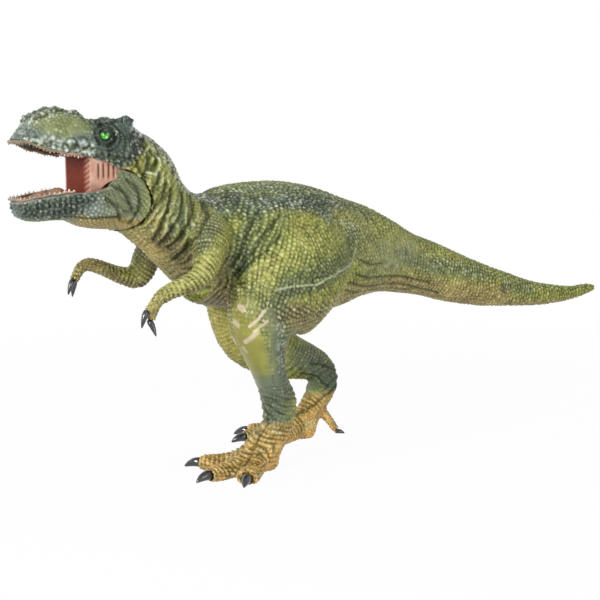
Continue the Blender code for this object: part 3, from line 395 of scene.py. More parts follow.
def keep_outer_body(item):
    """Deletes the bubbles that remeshing leaves inside."""
    points = points_of(item)
    flags = np.zeros(len(points), bool)
    flags[points[:, 1].argmin()] = True
    only(item)
    bpy.ops.object.mode_set(mode="EDIT")
    bpy.ops.mesh.select_mode(type="VERT")
    bpy.ops.mesh.select_all(action="DESELECT")
    bpy.ops.object.mode_set(mode="OBJECT")
    item.data.vertices.foreach_set("select", flags)
    bpy.ops.object.mode_set(mode="EDIT")
    bpy.ops.mesh.select_linked()
    bpy.ops.mesh.select_all(action="INVERT")
    bpy.ops.mesh.delete(type="VERT")
    bpy.ops.object.mode_set(mode="OBJECT")


def read(items, field, width=1, kind=np.int32):
    """One field of a mesh's points, edges or faces as an array with a row for each."""
    data = np.empty(len(items) * width, kind)
    items.foreach_get(field, data)
    return data.reshape(-1, width)


def points_of(item):
    """Points of a mesh in millimetres."""
    return read(item.data.vertices, "co", 3, np.float32).astype(float) * MM


def move_points(item, points):
    item.data.vertices.foreach_set("co", (points / MM).astype(np.float32).ravel())
    item.data.update()


def neighbour_mean(values, edges, counts):
    total = np.zeros_like(values)
    size = len(values)
    for axis in range(values.shape[1]):
        total[:, axis] = np.bincount(edges[:, 0], values[edges[:, 1], axis], size)
        total[:, axis] += np.bincount(edges[:, 1], values[edges[:, 0], axis], size)
    return total / counts[:, None]


def soften(item, rounds, share):
    """Fairs the surface without shrinking it: each round relaxes it and swells it back."""
    points = points_of(item)
    edges = read(item.data.edges, "vertices", 2)
    counts = np.bincount(edges.ravel(), minlength=len(points)).clip(1).astype(float)
    for _ in range(rounds):
        for step in (RELAX, -SWELL_BACK):
            points += (neighbour_mean(points, edges, counts) - points) * step * share[:, None]
    move_points(item, points)


def ease(value, low, high):
    """Smooth step from 0 at low to 1 at high."""
    part = np.clip((value - low) / (high - low), 0, 1)
    return part * part * (3 - 2 * part)


def bell(off, width):
    """1 where the distance off is nothing, falling away within a width."""
    return np.exp(-((off / width) ** 2))


def ripple(travel, spacing):
    """Waves from 0 to 1, one for each spacing."""
    return 0.5 + 0.5 * np.cos(travel * 2 * pi / spacing)


def tiles(travel, spacing, width):
    """Narrow grooves across a line, one for each spacing."""
    part = travel / spacing
    return bell(np.abs(part - np.round(part)) * spacing, width)


def distance(points, place, stretch=(1, 1, 1)):
    """Distance from a place, with each direction stretched or left out."""
    return np.linalg.norm((points - place) * stretch, axis=1)


def cloud(points, size, seed):
    """Soft noise from -1 to 1 with lumps of a size in millimetres."""
    spot = points / size + seed * 17.3
    cell = np.floor(spot).astype(np.int64)
    part = spot - cell
    part = part * part * (3 - 2 * part)
    total = np.zeros(len(points))
    for corner in range(8):
        step = np.array([corner & 1, corner >> 1 & 1, corner >> 2 & 1])
        i, j, k = (cell + step).T
        code = i * 73856093 ^ j * 19349663 ^ k * 83492791 ^ (seed + 7) * 2654435761
        code = (code ^ (code >> 13)) * 1274126177
        value = (code >> 8 & 0xFFFF) / 65535
        total += value * np.prod(np.where(step, part, 1 - part), axis=1)
    return total * 2 - 1


def along_line(points, line):
    """Distance travelled along a bent line at the nearest place, and the distance off it."""
    best = np.full(len(points), FAR)
    travel = np.zeros(len(points))
    done = 0.0
    for start, end in zip(line, line[1:]):
        start = np.array(start, float)
        step = np.array(end, float) - start
        length = np.linalg.norm(step)
        part = ((points - start) @ step) / length**2
        inside = np.clip(part, 0, 1)
        off = np.linalg.norm(points - start - inside[:, None] * step, axis=1)
        near = off < best
        best[near] = off[near]
        travel[near] = done + part[near] * length
        done += length
    return travel, best


def dense(line, step):
    """Evenly spaced points along a bent line."""
    result = []
    for start, end in zip(line, line[1:]):
        start = np.array(start, float)
        end = np.array(end, float)
        count = max(1, round(float(np.linalg.norm(end - start)) / step))
        result += [start + (end - start) * index / count for index in range(count)]
    return np.array(result + [np.array(line[-1], float)])


class Hide:
    """Points and normals of one sculpted piece in millimetres, with its relief and paint."""

    def __init__(self, item, paints):
        self.item = item
        self.paints = paints
        self.points = points_of(item)
        self.normals = read(item.data.vertex_normals, "vector", 3, np.float32).astype(float)
        self.x, self.y, self.z = self.points.T
        self.nx, self.ny, self.nz = self.normals.T
        self.side = np.abs(self.x)
        count = len(self.points)
        # The wash darkens the hollows and so also paints their shade
        self.relief, self.wash, self.gloss, self.bare, self.mouth = np.zeros((5, count))
        self.colour = np.zeros((count, 3))
        polygons = [tuple(face.vertices) for face in item.data.polygons]
        self.tree = BVHTree.FromPolygons([tuple(point) for point in self.points], polygons)

    def snapped(self, line, side, step=0.6):
        """Points of a line laid on the surface, on one side or on both."""
        spots = dense(line, step)
        if side == 0:
            spots = np.vstack([spots, spots * [-1, 1, 1]])
        return np.array([list(self.tree.find_nearest(Vector(spot))[0]) for spot in spots])

    def nearness(self, spots, reach):
        """Distance from each point to the nearest of some spots, up to a reach."""
        result = np.full(len(self.points), FAR)
        low = spots.min(0) - reach
        high = spots.max(0) + reach
        near = np.flatnonzero(((self.points > low) & (self.points < high)).all(1))
        if len(near):
            close = self.points[near]
            gaps = np.full(len(near), FAR)
            for spot in spots:
                gaps = np.minimum(gaps, np.linalg.norm(close - spot, axis=1))
            result[near] = gaps
        return result

    def coat(self, mask, paint):
        """Covers the surface with a paint, as thickly as the mask says from 0 to 1."""
        share = np.clip(mask, 0, 1) * np.ones(len(self.points))
        self.colour += (np.array(getattr(self.paints, paint)) - self.colour) * share[:, None]

    def press(self, shape, depth, dark=0.0):
        """Presses a shape into the surface and darkens it with the wash, which also paints the
        shade in the hollow.
        """
        self.relief -= shape * depth
        self.wash += shape * dark

    def crease(self, side, width, depth, line):
        """A groove with a low lip on each side, washed dark as painted shade."""
        off = self.nearness(self.snapped(line, side), width * 3)
        self.press(bell(off, width), depth, 0.9)
        self.relief += bell(off - width * 1.7, width) * depth * 0.25

    def tendon(self, side, width, height, line):
        shape = bell(self.nearness(self.snapped(line, side), width * 3), width)
        self.relief += shape * height
        # Pale paint along the crest, partly a painted highlight; the wash and painted shade are
        # cleared there
        self.coat(shape * 0.5, "light")
        self.coat(shape**2 * 0.65, "mist")
        self.wash *= 1 - shape

    def knobs(self, spacing, radius, height, line, paint=None):
        """A row of domes of several sizes, each with a groove round it that is washed dark as
        painted shade.
        """
        for index, spot in enumerate(self.snapped(line, 0, spacing)):
            off = self.nearness(spot[None], radius * 2)
            size = 0.8 + 0.35 * ((index * 7) % 5) / 4
            dome = np.clip(1 - (off / (radius * size)) ** 2, 0, 1)
            rim = bell(off - radius * size, 0.45)
            self.relief += np.sqrt(dome) * height * size - rim * 0.25
            self.wash += rim * 0.5
            if paint:
                self.coat(dome * 0.7, paint)

    def glint_near(self, name):
        width, strength, line = GLINTS[name]
        off = self.nearness(self.snapped(line, 0, STROKE_STEP), width * 1.6)
        return ease(off, width * 1.4, width * 0.5) * strength

    def stroke(self, paint, side, width, strength, line, step=STROKE_STEP, edges=(0.35, 1.5)):
        """Sprays a line with paint that is full and gone at the given shares of its width."""
        off = self.nearness(self.snapped(line, side, step), width * 2)
        ragged = off + cloud(self.points, 2.5, 3) * width * 0.25
        inner, outer = edges
        mask = ease(ragged, width * outer, width * inner)
        self.coat(mask * strength, paint)
        return mask

    def finish(self):
        """Presses the relief into the mesh and stores what the paint reads."""
        move_points(self.item, self.points + self.normals * self.relief[:, None])
        colour = np.ones((len(self.points), 4))
        colour[:, :3] = np.clip(self.colour, 0, 1)
        # The relief attribute carries the dark wash with its painted shade, not the relief
        for name, kind, field, values in (
            ("relief", "FLOAT", "value", np.clip(self.wash, 0, 1)),
            ("gloss", "FLOAT", "value", np.clip(self.gloss, 0, 1)),
            ("paint", "FLOAT_COLOR", "color", colour),
        ):
            layer = self.item.data.attributes.new(name, kind, "POINT")
            layer.data.foreach_set(field, values.astype(np.float32).ravel())


class Body(Hide):
    """The fused hide of the figure, with the casting that each point belongs to."""

    def __init__(self, item, paints, names):
        super().__init__(item, paints)
        self.names = names
        self.trunk = np.isin(names, ["torso", "tail", "head"]).astype(float)
        self.legs = np.isin(names, ["left_leg", "right_leg"])
        self.arms = np.isin(names, ["left_arm", "right_arm"])
        self.spine = along_line(self.points[:, 1:], SPINE)[0]
        self.front = np.interp(self.z, *HEAD_EDGE) - self.y

    def own(self, name):
        return self.names == name


def seeds_in_rows(points, order, spacing):
    """Chooses points a spacing apart, row after row, so that the scales line up."""
    size = float(spacing.max())
    cells = np.floor(points / size).astype(int)
    taken = {}
    chosen = []
    ring = [(a, b, c) for a in (-1, 0, 1) for b in (-1, 0, 1) for c in (-1, 0, 1)]
    rows = points.tolist()
    keys = cells.tolist()
    gaps = spacing.tolist()
    for index in np.argsort(order, kind="stable").tolist():
        x, y, z = rows[index]
        i, j, k = keys[index]
        gap = gaps[index] ** 2
        free = True
        for a, b, c in ring:
            for px, py, pz in taken.get((i + a, j + b, k + c), ()):
                if (px - x) ** 2 + (py - y) ** 2 + (pz - z) ** 2 < gap:
                    free = False
                    break
            if not free:
                break
        if free:
            taken.setdefault((i, j, k), []).append((x, y, z))
            chosen.append((x, y, z))
    return chosen


def scales(points, order, spacing, warp=0):
    """Height from 0 in the grooves to 1 on top of each scale, and a shade for each scale."""
    seeds = seeds_in_rows(points, order, spacing)
    tree = KDTree(len(seeds))
    for index, seed in enumerate(seeds):
        tree.insert(seed, index)
    tree.balance()
    height = np.zeros(len(points))
    shade = np.zeros(len(points))
    for index, point in enumerate((points + warp).tolist()):
        (_, number, near), (_, _, far) = tree.find_n(point, 2)
        height[index] = far - near
        shade[index] = (number * 7919 % 101) / 100
    return ease(height / spacing, 0.0, 0.75), shade


def paint_body(hide):
    """Lays the ground colours of the whole figure."""
    y, z = hide.y, hide.z
    fog = cloud(hide.points, 9.0, 1)
    under = ease(-hide.nz, 0.25, 0.75)
    throat = ease(y, -86, -98) * ease(-hide.ny * 0.6 - hide.nz, -0.1, 0.55)
    hide.coat(1, "olive")
    hide.coat(ease(hide.nz, 0.5, 0.9) * 0.85, "leaf")
    hide.coat(ease(fog, -0.2, 0.8) * 0.35, "leaf")
    hide.coat(ease(fog, 0.2, -0.8) * 0.3, "light")
    hide.coat(under * ease(y, -45, -60) * ease(z, 45, 52) * 0.85, "brown")
    hide.coat(throat, "tan")
    hide.coat(under * ease(y, -10, 5) * 0.9, "tan")
    hide.coat(under * ease(y, 5, -10) * ease(y, -45, -30) * ease(z, 45, 52) * 0.8, "tan")


def bare_shins(hide):
    """The smooth varnished front of the left shin."""
    bare = np.zeros(len(hide.points))
    for outer, inner, line in BARE_BANDS:
        off = hide.nearness(hide.snapped(line, 1, STROKE_STEP), 12)
        bare = np.maximum(bare, ease(off, outer, inner))
    bare *= 1 - 0.3 * ease(hide.z, 52, 62)
    return bare * hide.own("left_leg") * ease(hide.z, 26, 30)


def gild_feet(hide):
    hide.foot = ease(hide.z, 20.5, 16.5)
    hide.coat(hide.foot, "gold")
    hide.coat(hide.foot * ease(hide.z, 8, 18) * 0.35, "shin")


def toe_lines(side):
    """Middle lines of the toes, from the ball of the foot to each claw."""
    lines = []
    for toe in ("inner", "middle", "outer"):
        low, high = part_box(side + "foot_" + toe + "_claw")
        middle = (low + high) / 2 * MM
        lines.append([BALLS[side], (middle.x, middle.y, 4)])
    return lines


def sculpt_toes(hide):
    """Cross grooves on the toes and folds round the ankles."""
    p, z = hide.points, hide.z
    top = ease(hide.nz, -0.35, 0.1)
    for side in ("left_", "right_"):
        leg = hide.own(side + "leg")
        own = hide.foot * leg
        best = np.full(len(p), FAR)
        groove = np.zeros(len(p))
        for line in toe_lines(side):
            travel, off = along_line(p, line)
            cut = tiles(travel + cloud(p, 4.0, 5) * 0.25, TOE_STEP, 0.38)
            near = off < best
            best[near] = off[near]
            groove[near] = cut[near] * ease(travel, 1, 4)[near]
        shin = along_line(p, LIMB_LINES[side + "leg"])[0]
        ring = tiles(shin + cloud(p, 5.0, 6) * 0.5, TOE_STEP, 0.38)
        high = ease(z, 10, 13)
        groove = groove * (1 - high) + ring * high
        groove = groove * (0.4 + 0.6 * ease(cloud(p, 2.2, 19), -0.5, 0.2))
        # Grooves washed dark: painted shade in them
        hide.press(own * groove * top, 0.45, 0.9)
        # Pale tops of the bars between the grooves: painted highlights, partly dry-brush
        bar_highlights = own * top * ease(groove, 0.3, 0.0) * ease(cloud(p, 1.6, 18), -0.2, 0.5)
        hide.coat(bar_highlights * 0.6, "spark")
        hide.wash += own * ease(cloud(p, 5.0, 15), -0.1, 0.7) * 0.3
        hide.coat(own * ease(cloud(p, 4.0, 16), 0.0, 0.7) * 0.35, "shin")
        ankle = leg * ease(z, 16, 19) * ease(z, 38, 31)
        fold = tiles(shin + cloud(p, 7.0, 8) * 1.6, ANKLE_STEP, 0.6) * ankle
        # Ankle folds washed dark: painted shade in them
        hide.press(fold * ease(cloud(p, 6.0, 17), -0.7, 0.1), 0.5, 0.55)


def sculpt_arms(hide):
    """Cross grooves of the arms, with brown paint that is partly painted shade on their undersides
    and the far arm, and tan hands.
    """
    for name, shade in ARM_BROWN_AND_SHADE.items():
        own = hide.own(name)
        travel = along_line(hide.points, LIMB_LINES[name])[0]
        ring = tiles(travel + cloud(hide.points, 4.0, 9) * 0.4, TOE_STEP, 0.35)
        hide.press(ring * own * ease(travel, 12, 22), 0.2, 0.4)
        # Browner undersides: brown paint and painted shade
        hide.coat(own * ease(-hide.nz, 0.1, 0.8) * 0.5, "brown")
        hide.coat(own * shade, "brown")
        hide.coat(own * ease(travel, 44, 50) * 0.6, "tan")


def sculpt_neck(hide):
    """Ring folds of the neck and throat, with painted shade in their grooves and painted highlights
    on their crests.
    """
    p, y = hide.points, hide.y
    neck = ease(hide.front, 1.0, -3.0) * ease(y, -72, -86) * hide.trunk
    flat = ease(np.abs(hide.nx), 0.35, 0.7)
    wave = hide.side * 1.3 * (1 - flat) + (y - 0.4 * np.maximum(hide.z, 98)) * flat
    wave += cloud(p, 12.0, 11) * 2.5 + cloud(p, 4.0, 12) * 0.9
    fold = ripple(wave, NECK_STEP)
    # The sides that face down and forward get deeper grooves and more painted shade
    low = ease(-hide.nz - hide.ny * 0.5, -0.4, 0.5)
    high = 0.15 + 0.85 * ease(hide.z, 88, 98)
    hide.relief -= neck * (1 - fold) * (0.3 + 0.35 * low)
    hide.wash += neck * ease(fold, 0.45, 0.0) * (0.18 + 0.13 * low)
    # Pale crests of the folds, brighter higher up: painted highlights
    hide.coat(neck * ease(fold, 0.5, 1.0) * high * 0.6, "light")
    dabs = ease(cloud(p, 2.0, 24), -0.2, 0.5)
    hide.coat(neck * ease(fold, 0.75, 1.0) * dabs * high * 0.5, "mist")
    hide.neck = neck


def sculpt_belly(hide):
    """Cross folds of the belly, with painted shade in their grooves."""
    p, y = hide.points, hide.y
    belly = ease(-hide.nz - hide.ny * 0.3, 0.0, 0.6) * ease(y, -52, -64)
    hide.belly = belly * ease(y, -95, -84) * hide.trunk
    fold = ripple(hide.spine + cloud(p, 6.0, 13) * 1.6, BELLY_STEP)
    hide.relief -= hide.belly * (1 - fold) * 0.5
    hide.wash += hide.belly * ease(fold, 0.6, 0.1) * 0.7


def sculpt_ribs(hide):
    """Faint ribs that the scales follow, leaning on the thighs and deeper on the tail, with painted
    shade in their grooves.
    """
    p, y = hide.points, hide.y
    own = hide.trunk * ease(y, -106, -96) * (1 - hide.belly)
    own += hide.legs * ease(hide.z, 62, 70)
    thigh = 0.75 * ease(y, -52, -38) * ease(y, 15, -12)
    lean = thigh - 0.35 * ease(y, -75, -62) * ease(y, -40, -52)
    slant = hide.spine + lean * (hide.z - 84)
    hide.rows = (slant + cloud(p, 10.0, 14) * 1.8) / RIB_STEP
    rib = 0.5 - 0.5 * np.cos(hide.rows * 2 * pi)
    own = own * (0.3 + 0.7 * ease(cloud(p, 3.5, 20), -0.4, 0.4))
    rear = ease(y, 40, 70)
    hide.relief -= own * (1 - rib) * (0.14 + 0.16 * rear)
    hide.wash += own * ease(rib, 0.45, 0.0) * (0.25 + 0.4 * rear)


def sculpt_lids(hide, front):
    """Ring folds round the eyes."""
    for node in EYES:
        low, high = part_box(node)
        middle = np.array((low + high) / 2 * MM)
        off = distance(hide.points, middle)
        behind = ease(hide.y, middle[1] - 1, middle[1] + 1)
        for radius, height, dark, slate, rear in EYE_FOLDS:
            fold = bell(off - radius, 0.5) * (behind if rear else 1)
            hide.relief += fold * height * front
            # Ditches round the eye washed dark: painted shade in them
            hide.wash += fold * dark * front
            hide.coat(fold * front * slate, "slate")
        hide.coat(ease(off, 3.3, 2.6) * front * 0.85, "black")


def sculpt_lips(hide, front):
    """Groove and nicks along the upper lip, and the bare palate."""
    p, y = hide.points, hide.y
    own = hide.own("head")
    above = hide.z - np.interp(y, *UPPER_LIP)
    row = bell(above - 2.6, 0.45) * own * front * ease(hide.nz, -0.75, -0.4)
    # The groove and the nicks along the lip are washed dark: painted shade in them
    hide.press(row, 0.3, 0.5)
    nick = tiles(y + cloud(p, 3.0, 22) * 0.5, 2.3, 0.35)
    hide.press(nick * (ease(above, 3.0, 0.3) * own * front), 0.3, 0.5)
    inside = ease(-hide.nz, 0.5, 0.8) * ease(np.interp(y, *LIP_WIDTH) - hide.side, 1.8, 2.6)
    hide.mouth = inside * ease(y, -108, -112) * ease(above, 5, 4) * own
    # Maroon at the back of the palate, flesh toward its front: red paint, with painted shade deeper
    # in the mouth
    hide.coat(hide.mouth, "maroon")
    hide.coat(hide.mouth * ease(y, -128, -122), "flesh")


def sculpt_head(hide):
    """Paint of the head, with its ear pits, eyelids, nostrils and lips."""
    p, y, z = hide.points, hide.y, hide.z
    own = hide.own("head")
    front = ease(hide.front, 0.0, 2.5) * own
    hide.coat(front, "slate")
    patch = ((y + 133) / 10.5) ** 2 + ((z - 132) / 5.2) ** 2 + cloud(p, 3.0, 21) * 0.25
    hide.coat(ease(patch, 1.6, 0.3) * front * ease(hide.side, 2, 5) * 0.9, "moss")
    hide.coat(front * ease(y, -125, -121) * 0.85, "pine")
    # Pale glints on the head: painted highlights
    for name, amount in HEAD_SHINE.items():
        hide.coat(hide.glint_near(name) * amount * ease(cloud(p, 0.9, 23), -0.6, 0.5), "mist")
    corner = distance(p, MOUTH_CORNER, (0, 1, 1.3))
    hide.coat(ease(corner, 6.0, 2.0) * own * 0.7, "olive")
    # Black along the back edge of the head paint, in the fold there: painted shade
    hide.coat(bell(hide.front - 1.2, 1.5) * own * ease(z, 118, 122) * 0.85, "black")
    # Black ear pit: painted shade in the hollow
    pocket = ease(distance(p, EAR, (0, 1, 0.8)), 4.4, 2.6) * own * ease(hide.side, 6, 10)
    hide.coat(pocket, "black")
    hide.press(pocket, 0.5)
    sculpt_lids(hide, front)
    # Nostril pits, pressed and washed dark: painted shade
    for nostril in NOSTRILS:
        hide.press(ease(distance(p, nostril, (1, 1, 1.4)), 1.7, 0.6) * own, 1.0, 1.0)
    sculpt_lips(hide, front)


def smooth_root(hide):
    """The smooth grey root of the tail, pitted instead of scaled."""
    p = hide.points
    root = ease(distance(p, TAIL_ROOT, (0, 0.5, 1)), 10, 5) * hide.trunk
    hide.relief += cloud(p, 1.3, 39) * root * 0.08
    hide.wash += ease(cloud(p, 1.5, 40), 0.1, 0.6) * root * 0.3
    hide.coat(root * 0.3, "steel")
    hide.coat(ease(cloud(p, 1.0, 45), 0.3, 0.6) * root * 0.3, "mist")
    return root


def number_rows(hide):
    """Numbers the rows of scales: rings round the limbs, and the ribs everywhere else."""
    rows = hide.rows.copy()
    for name, line in LIMB_LINES.items():
        own = hide.own(name) & ((hide.z < 66) | ~hide.legs)
        rows[own] = along_line(hide.points, line)[0][own] / LIMB_STEP + 1000
    return rows + cloud(hide.points, 3.0, 33) * 0.25


def bead_all(hide, sizes):
    """Covers the hide with rows of rounded scales."""
    p, y, z = hide.points, hide.y, hide.z
    head = ease(hide.front, 0, 3) * hide.own("head")
    shank = hide.legs * ease(z, 66, 52)
    rows = number_rows(hide)
    part = rows - np.floor(rows) - 0.5
    order = np.floor(rows) * 1e4 + np.where(np.abs(part) < 0.22, 0, 5e3) + z - hide.side
    loose = (head > 0.5) | hide.own("right_leg") & (z < 30)
    order[loose] = hide.spine[loose] + cloud(p, 6.0, 31)[loose] * 0.8
    spacing = np.full(len(p), sizes.bead * MM)
    spacing += cloud(p, 14.0, 32) * 0.2
    spacing -= head * 0.15
    spacing -= hide.arms * 0.25
    spacing += ease(y, 55, 75) * 0.4 * hide.trunk
    spacing += hide.glint_near("cheek") * 0.5
    spacing -= shank * 0.2
    warp = np.stack([cloud(p, 1.7, seed) for seed in (34, 35, 36)], axis=1) * 0.3
    height, shade = scales(p, order, spacing, warp)
    depth = np.full(len(p), sizes.bead_depth * MM)
    for share, area in (
        (0.45, hide.neck), (0.6, hide.belly), (0.1, hide.foot), (0.93, hide.bare),
        (0.9, hide.mouth), (0.25, head), (0.2, hide.arms), (0.6, smooth_root(hide)),
        (0.35 * shank, 1 - hide.foot),
    ):
        depth *= 1 - share * area
    groove = 1 - height
    strength = depth / (sizes.bead_depth * MM)
    raised = np.where(loose, 0.55, ease(part, -0.3, 0.4))
    broken = 0.25 + 0.75 * ease(cloud(p, 1.9, 37), -0.5, 0.5)
    hide.relief -= groove * depth
    hide.relief += part * strength * (1 - head) * (1 - hide.foot) * 0.26
    # The grooves between the scales are washed dark, most on the low side of each scale and on the
    # upward-facing trunk: painted shade
    hide.wash += groove * strength * broken * (1.15 - 0.85 * raised)
    hide.wash += groove * ease(hide.nz, 0.2, 0.8) * hide.trunk * (1 - head) * 0.3
    brush_scales(hide, height, shade, strength, raised, head)


def brush_scales(hide, height, shade, strength, raised, head):
    """Gives each scale its own tone at random and dry-brushes its top, which also paints the
    highlights on the scales.
    """
    p, z = hide.points, hide.z
    hide.colour *= (1 + 0.14 * ease(hide.y, 20, 50))[:, None]
    low = hide.own("left_leg") * ease(z, 62, 50) + hide.legs * ease(z, 38, 32)
    plain = strength * (1 - head) * (1 - hide.foot) * (1 - 0.75 * np.clip(low, 0, 1))
    hide.colour *= (1 + (shade - 0.5) * 0.5 * strength - 0.11 * plain)[:, None]
    # Straw on the raised edge of each scale: dry-brush that is partly a painted highlight
    hide.coat(ease(height, 0.3, 0.8) * raised**2 * plain * (0.25 + 0.35 * shade), "straw")
    glint = np.max([hide.glint_near(name) for name in GLINTS], axis=0)
    nape = hide.glint_near("nape")
    speck = cloud(p, 0.9, 38)
    # Pale specks with dark ones beside them where the glints lie: painted highlights and painted
    # shade
    hide.coat(glint * ease(speck, 0.2, 0.6) * 0.6, "mist")
    hide.wash += glint * ease(speck, 0.0, -0.5) * 0.55
    # More painted highlights and painted shade on the nape
    hide.coat(nape * ease(speck, -0.05, 0.3) * 0.75, "mist")
    hide.wash += nape * ease(speck, -0.1, -0.4) * 0.4
    # Pale tops of some scales, whiter where the glints lie: painted highlights, partly dry-brush
    chance = ease(shade, 0.82 - 0.4 * glint, 0.98 - 0.3 * glint)
    spark = ease(height, 0.35, 0.85) * np.maximum(strength, 0.9 * glint) * (0.25 + 0.75 * raised)
    spark *= 0.10 * raised + (0.45 + 0.45 * glint) * chance
    warm, cool = np.array(hide.paints.spark), np.array(hide.paints.mist)
    hide.colour += spark[:, None] * (warm + (cool - warm) * glint[:, None] - hide.colour)


def label_points(item, names):
    """Says which casting each point of the fused hide belongs to."""
    points = points_of(item)
    best = np.full(len(points), FAR)
    label = np.zeros(len(points), int)
    for index, name in enumerate(names):
        source = frame["nodes"][name].data
        low, high = (np.array(corner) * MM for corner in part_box(name))
        near = ((points > low - 2) & (points < high + 2)).all(1)
        corners = [vertex.co * MM for vertex in source.vertices]
        tree = BVHTree.FromPolygons(corners, [tuple(face.vertices) for face in source.polygons])
        for spot in np.flatnonzero(near).tolist():
            off = tree.find_nearest(Vector(points[spot]))[3]
            if off < best[spot]:
                best[spot] = off
                label[spot] = index
    return label


def part_pieces(item, label, names):
    """Cuts the fused hide along the castings' seams and closes each piece behind the seam."""
    starts = read(item.data.polygons, "loop_start").ravel()
    loops = read(item.data.loops, "vertex_index").ravel()
    item.data.materials.clear()
    for name in names:
        item.data.materials.append(bpy.data.materials.new("seam_" + name))
    item.data.polygons.foreach_set("material_index", label[loops[starts]].astype(np.int32))
    edit(item, (bpy.ops.mesh.separate, {"type": "MATERIAL"}))
    pieces = {}
    for piece in list(bpy.context.selected_objects):
        seams = piece.data.materials
        seam = seams[piece.data.polygons[0].material_index if len(seams) > 1 else 0]
        name = seam.name.replace("seam_", "")
        seams.clear()
        piece.name = "painted_" + name
        close_piece(piece)
        pieces[name] = piece
    return pieces


def close_piece(piece):
    """Marks the open rim of a piece sharp and fills it."""
    only(piece)
    bpy.ops.object.mode_set(mode="EDIT")
    bpy.ops.mesh.select_mode(type="EDGE")
    bpy.ops.mesh.select_all(action="DESELECT")
    bpy.ops.mesh.select_non_manifold()
    bpy.ops.mesh.mark_sharp()
    bpy.ops.mesh.select_all(action="SELECT")
    bpy.ops.mesh.fill_holes(sides=0)
    bpy.ops.mesh.select_mode(type="FACE")
    bpy.ops.mesh.select_all(action="DESELECT")
    bpy.ops.mesh.select_face_by_sides(number=4, type="GREATER")
    bpy.ops.mesh.quads_convert_to_tris()
    bpy.ops.object.mode_set(mode="OBJECT")


def fill(tree, node, inputs):
    """Gives each named input of a node a value, or a link from another node's output."""
    for key, value in inputs.items():
        if isinstance(value, bpy.types.NodeSocket):
            tree.links.new(value, node.inputs[key])
        else:
            node.inputs[key].default_value = value


def add_node(tree, kind, inputs, output=0, **settings):
    """Adds a shader node and gives back one of its outputs."""
    node = tree.nodes.new("ShaderNode" + kind)
    for key, value in settings.items():
        setattr(node, key, value)
    fill(tree, node, inputs)
    return node.outputs[output]


def new_finish(name):
    finish = bpy.data.materials.new(name)
    finish.use_nodes = True
    return finish, finish.node_tree, finish.node_tree.nodes["Principled BSDF"]


def paint_finish(name, gloss, coat):
    """Vinyl paint: airbrushed colour, a dark wash in the grooves that also paints their shade, and
    a satin varnish.
    """
    finish, tree, shader = new_finish(name)
    place = add_node(tree, "TexCoord", {}, "Object")
    speckle = add_node(tree, "TexNoise", {"Vector": place, "Scale": 900, "Detail": 3}, "Fac")
    pebbles = add_node(tree, "TexVoronoi", {"Vector": place, "Scale": 1250}, "Distance")
    colour = add_node(tree, "Attribute", {}, "Color", attribute_name="paint")
    relief = add_node(tree, "Attribute", {}, "Fac", attribute_name="relief")
    thick = add_node(tree, "Attribute", {}, "Fac", attribute_name="gloss")
    ragged = add_node(tree, "Math", {0: speckle, 1: 0.5, 2: -0.25}, operation="MULTIPLY_ADD")
    # Dark wash and painted shade read from the relief attribute
    wash = add_node(tree, "Math", {0: relief, 1: ragged}, operation="ADD", use_clamp=True)
    tone = add_node(
        tree, "Mix", {"Factor": wash, "A": colour, "B": WASH_AND_SHADE_TINT}, "Result",
        data_type="RGBA", blend_type="MULTIPLY",
    )
    rough = add_node(tree, "MapRange", {"Value": thick, "To Min": gloss, "To Max": 0.16})
    uneven = add_node(tree, "Math", {0: speckle, 1: 0.2, 2: rough}, operation="MULTIPLY_ADD")
    height = add_node(tree, "Math", {0: speckle, 1: pebbles}, operation="SUBTRACT")
    bump = add_node(tree, "Bump", {"Height": height, "Strength": 0.5, "Distance": 0.0002})
    fill(tree, shader, {
        "Base Color": tone, "Roughness": uneven, "Normal": bump, "Specular IOR Level": 0.1,
        "Coat Weight": coat, "Coat Roughness": 0.17, "Coat Normal": bump,
    })
    return finish


def gloss_finish(name, colour, streak, roughness, size):
    """Lacquer with faint streaks of a second tone."""
    finish, tree, shader = new_finish(name)
    place = add_node(tree, "TexCoord", {}, "Object")
    noise = add_node(tree, "TexNoise", {"Vector": place, "Scale": size, "Detail": 4}, "Fac")
    ramp = add_node(tree, "MapRange", {"Value": noise, "From Min": 0.45, "From Max": 0.75})
    tone = add_node(
        tree, "Mix", {"Factor": ramp, "A": (*colour, 1), "B": (*streak, 1)}, "Result",
        data_type="RGBA",
    )
    bump = add_node(tree, "Bump", {"Height": noise, "Strength": 0.2, "Distance": 0.0001})
    fill(tree, shader, {
        "Base Color": tone, "Roughness": roughness, "Normal": bump,
        "Coat Weight": 0.5, "Coat Roughness": 0.12,
    })
    return finish


def place_piece(piece, body, node, finish):
    """Gives a finished piece its paint and its body, in place of a solid, which it hides."""
    piece.data.materials.clear()
    piece.data.materials.append(finish)
    piece.data.polygons.foreach_set("material_index", np.zeros(len(piece.data.polygons), np.int32))
    piece.data.shade_smooth()
    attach(piece, body)
    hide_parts(node)


def metres(name, description, default):
    return FloatProperty(name=name, description=description, default=default, unit="LENGTH")


def amount(name, description, default):
    return FloatProperty(name=name, description=description, default=default)


def paint(name, description, colour):
    return FloatVectorProperty(
        name=name, description=description, subtype="COLOR", size=3, min=0, max=1, default=colour
    )


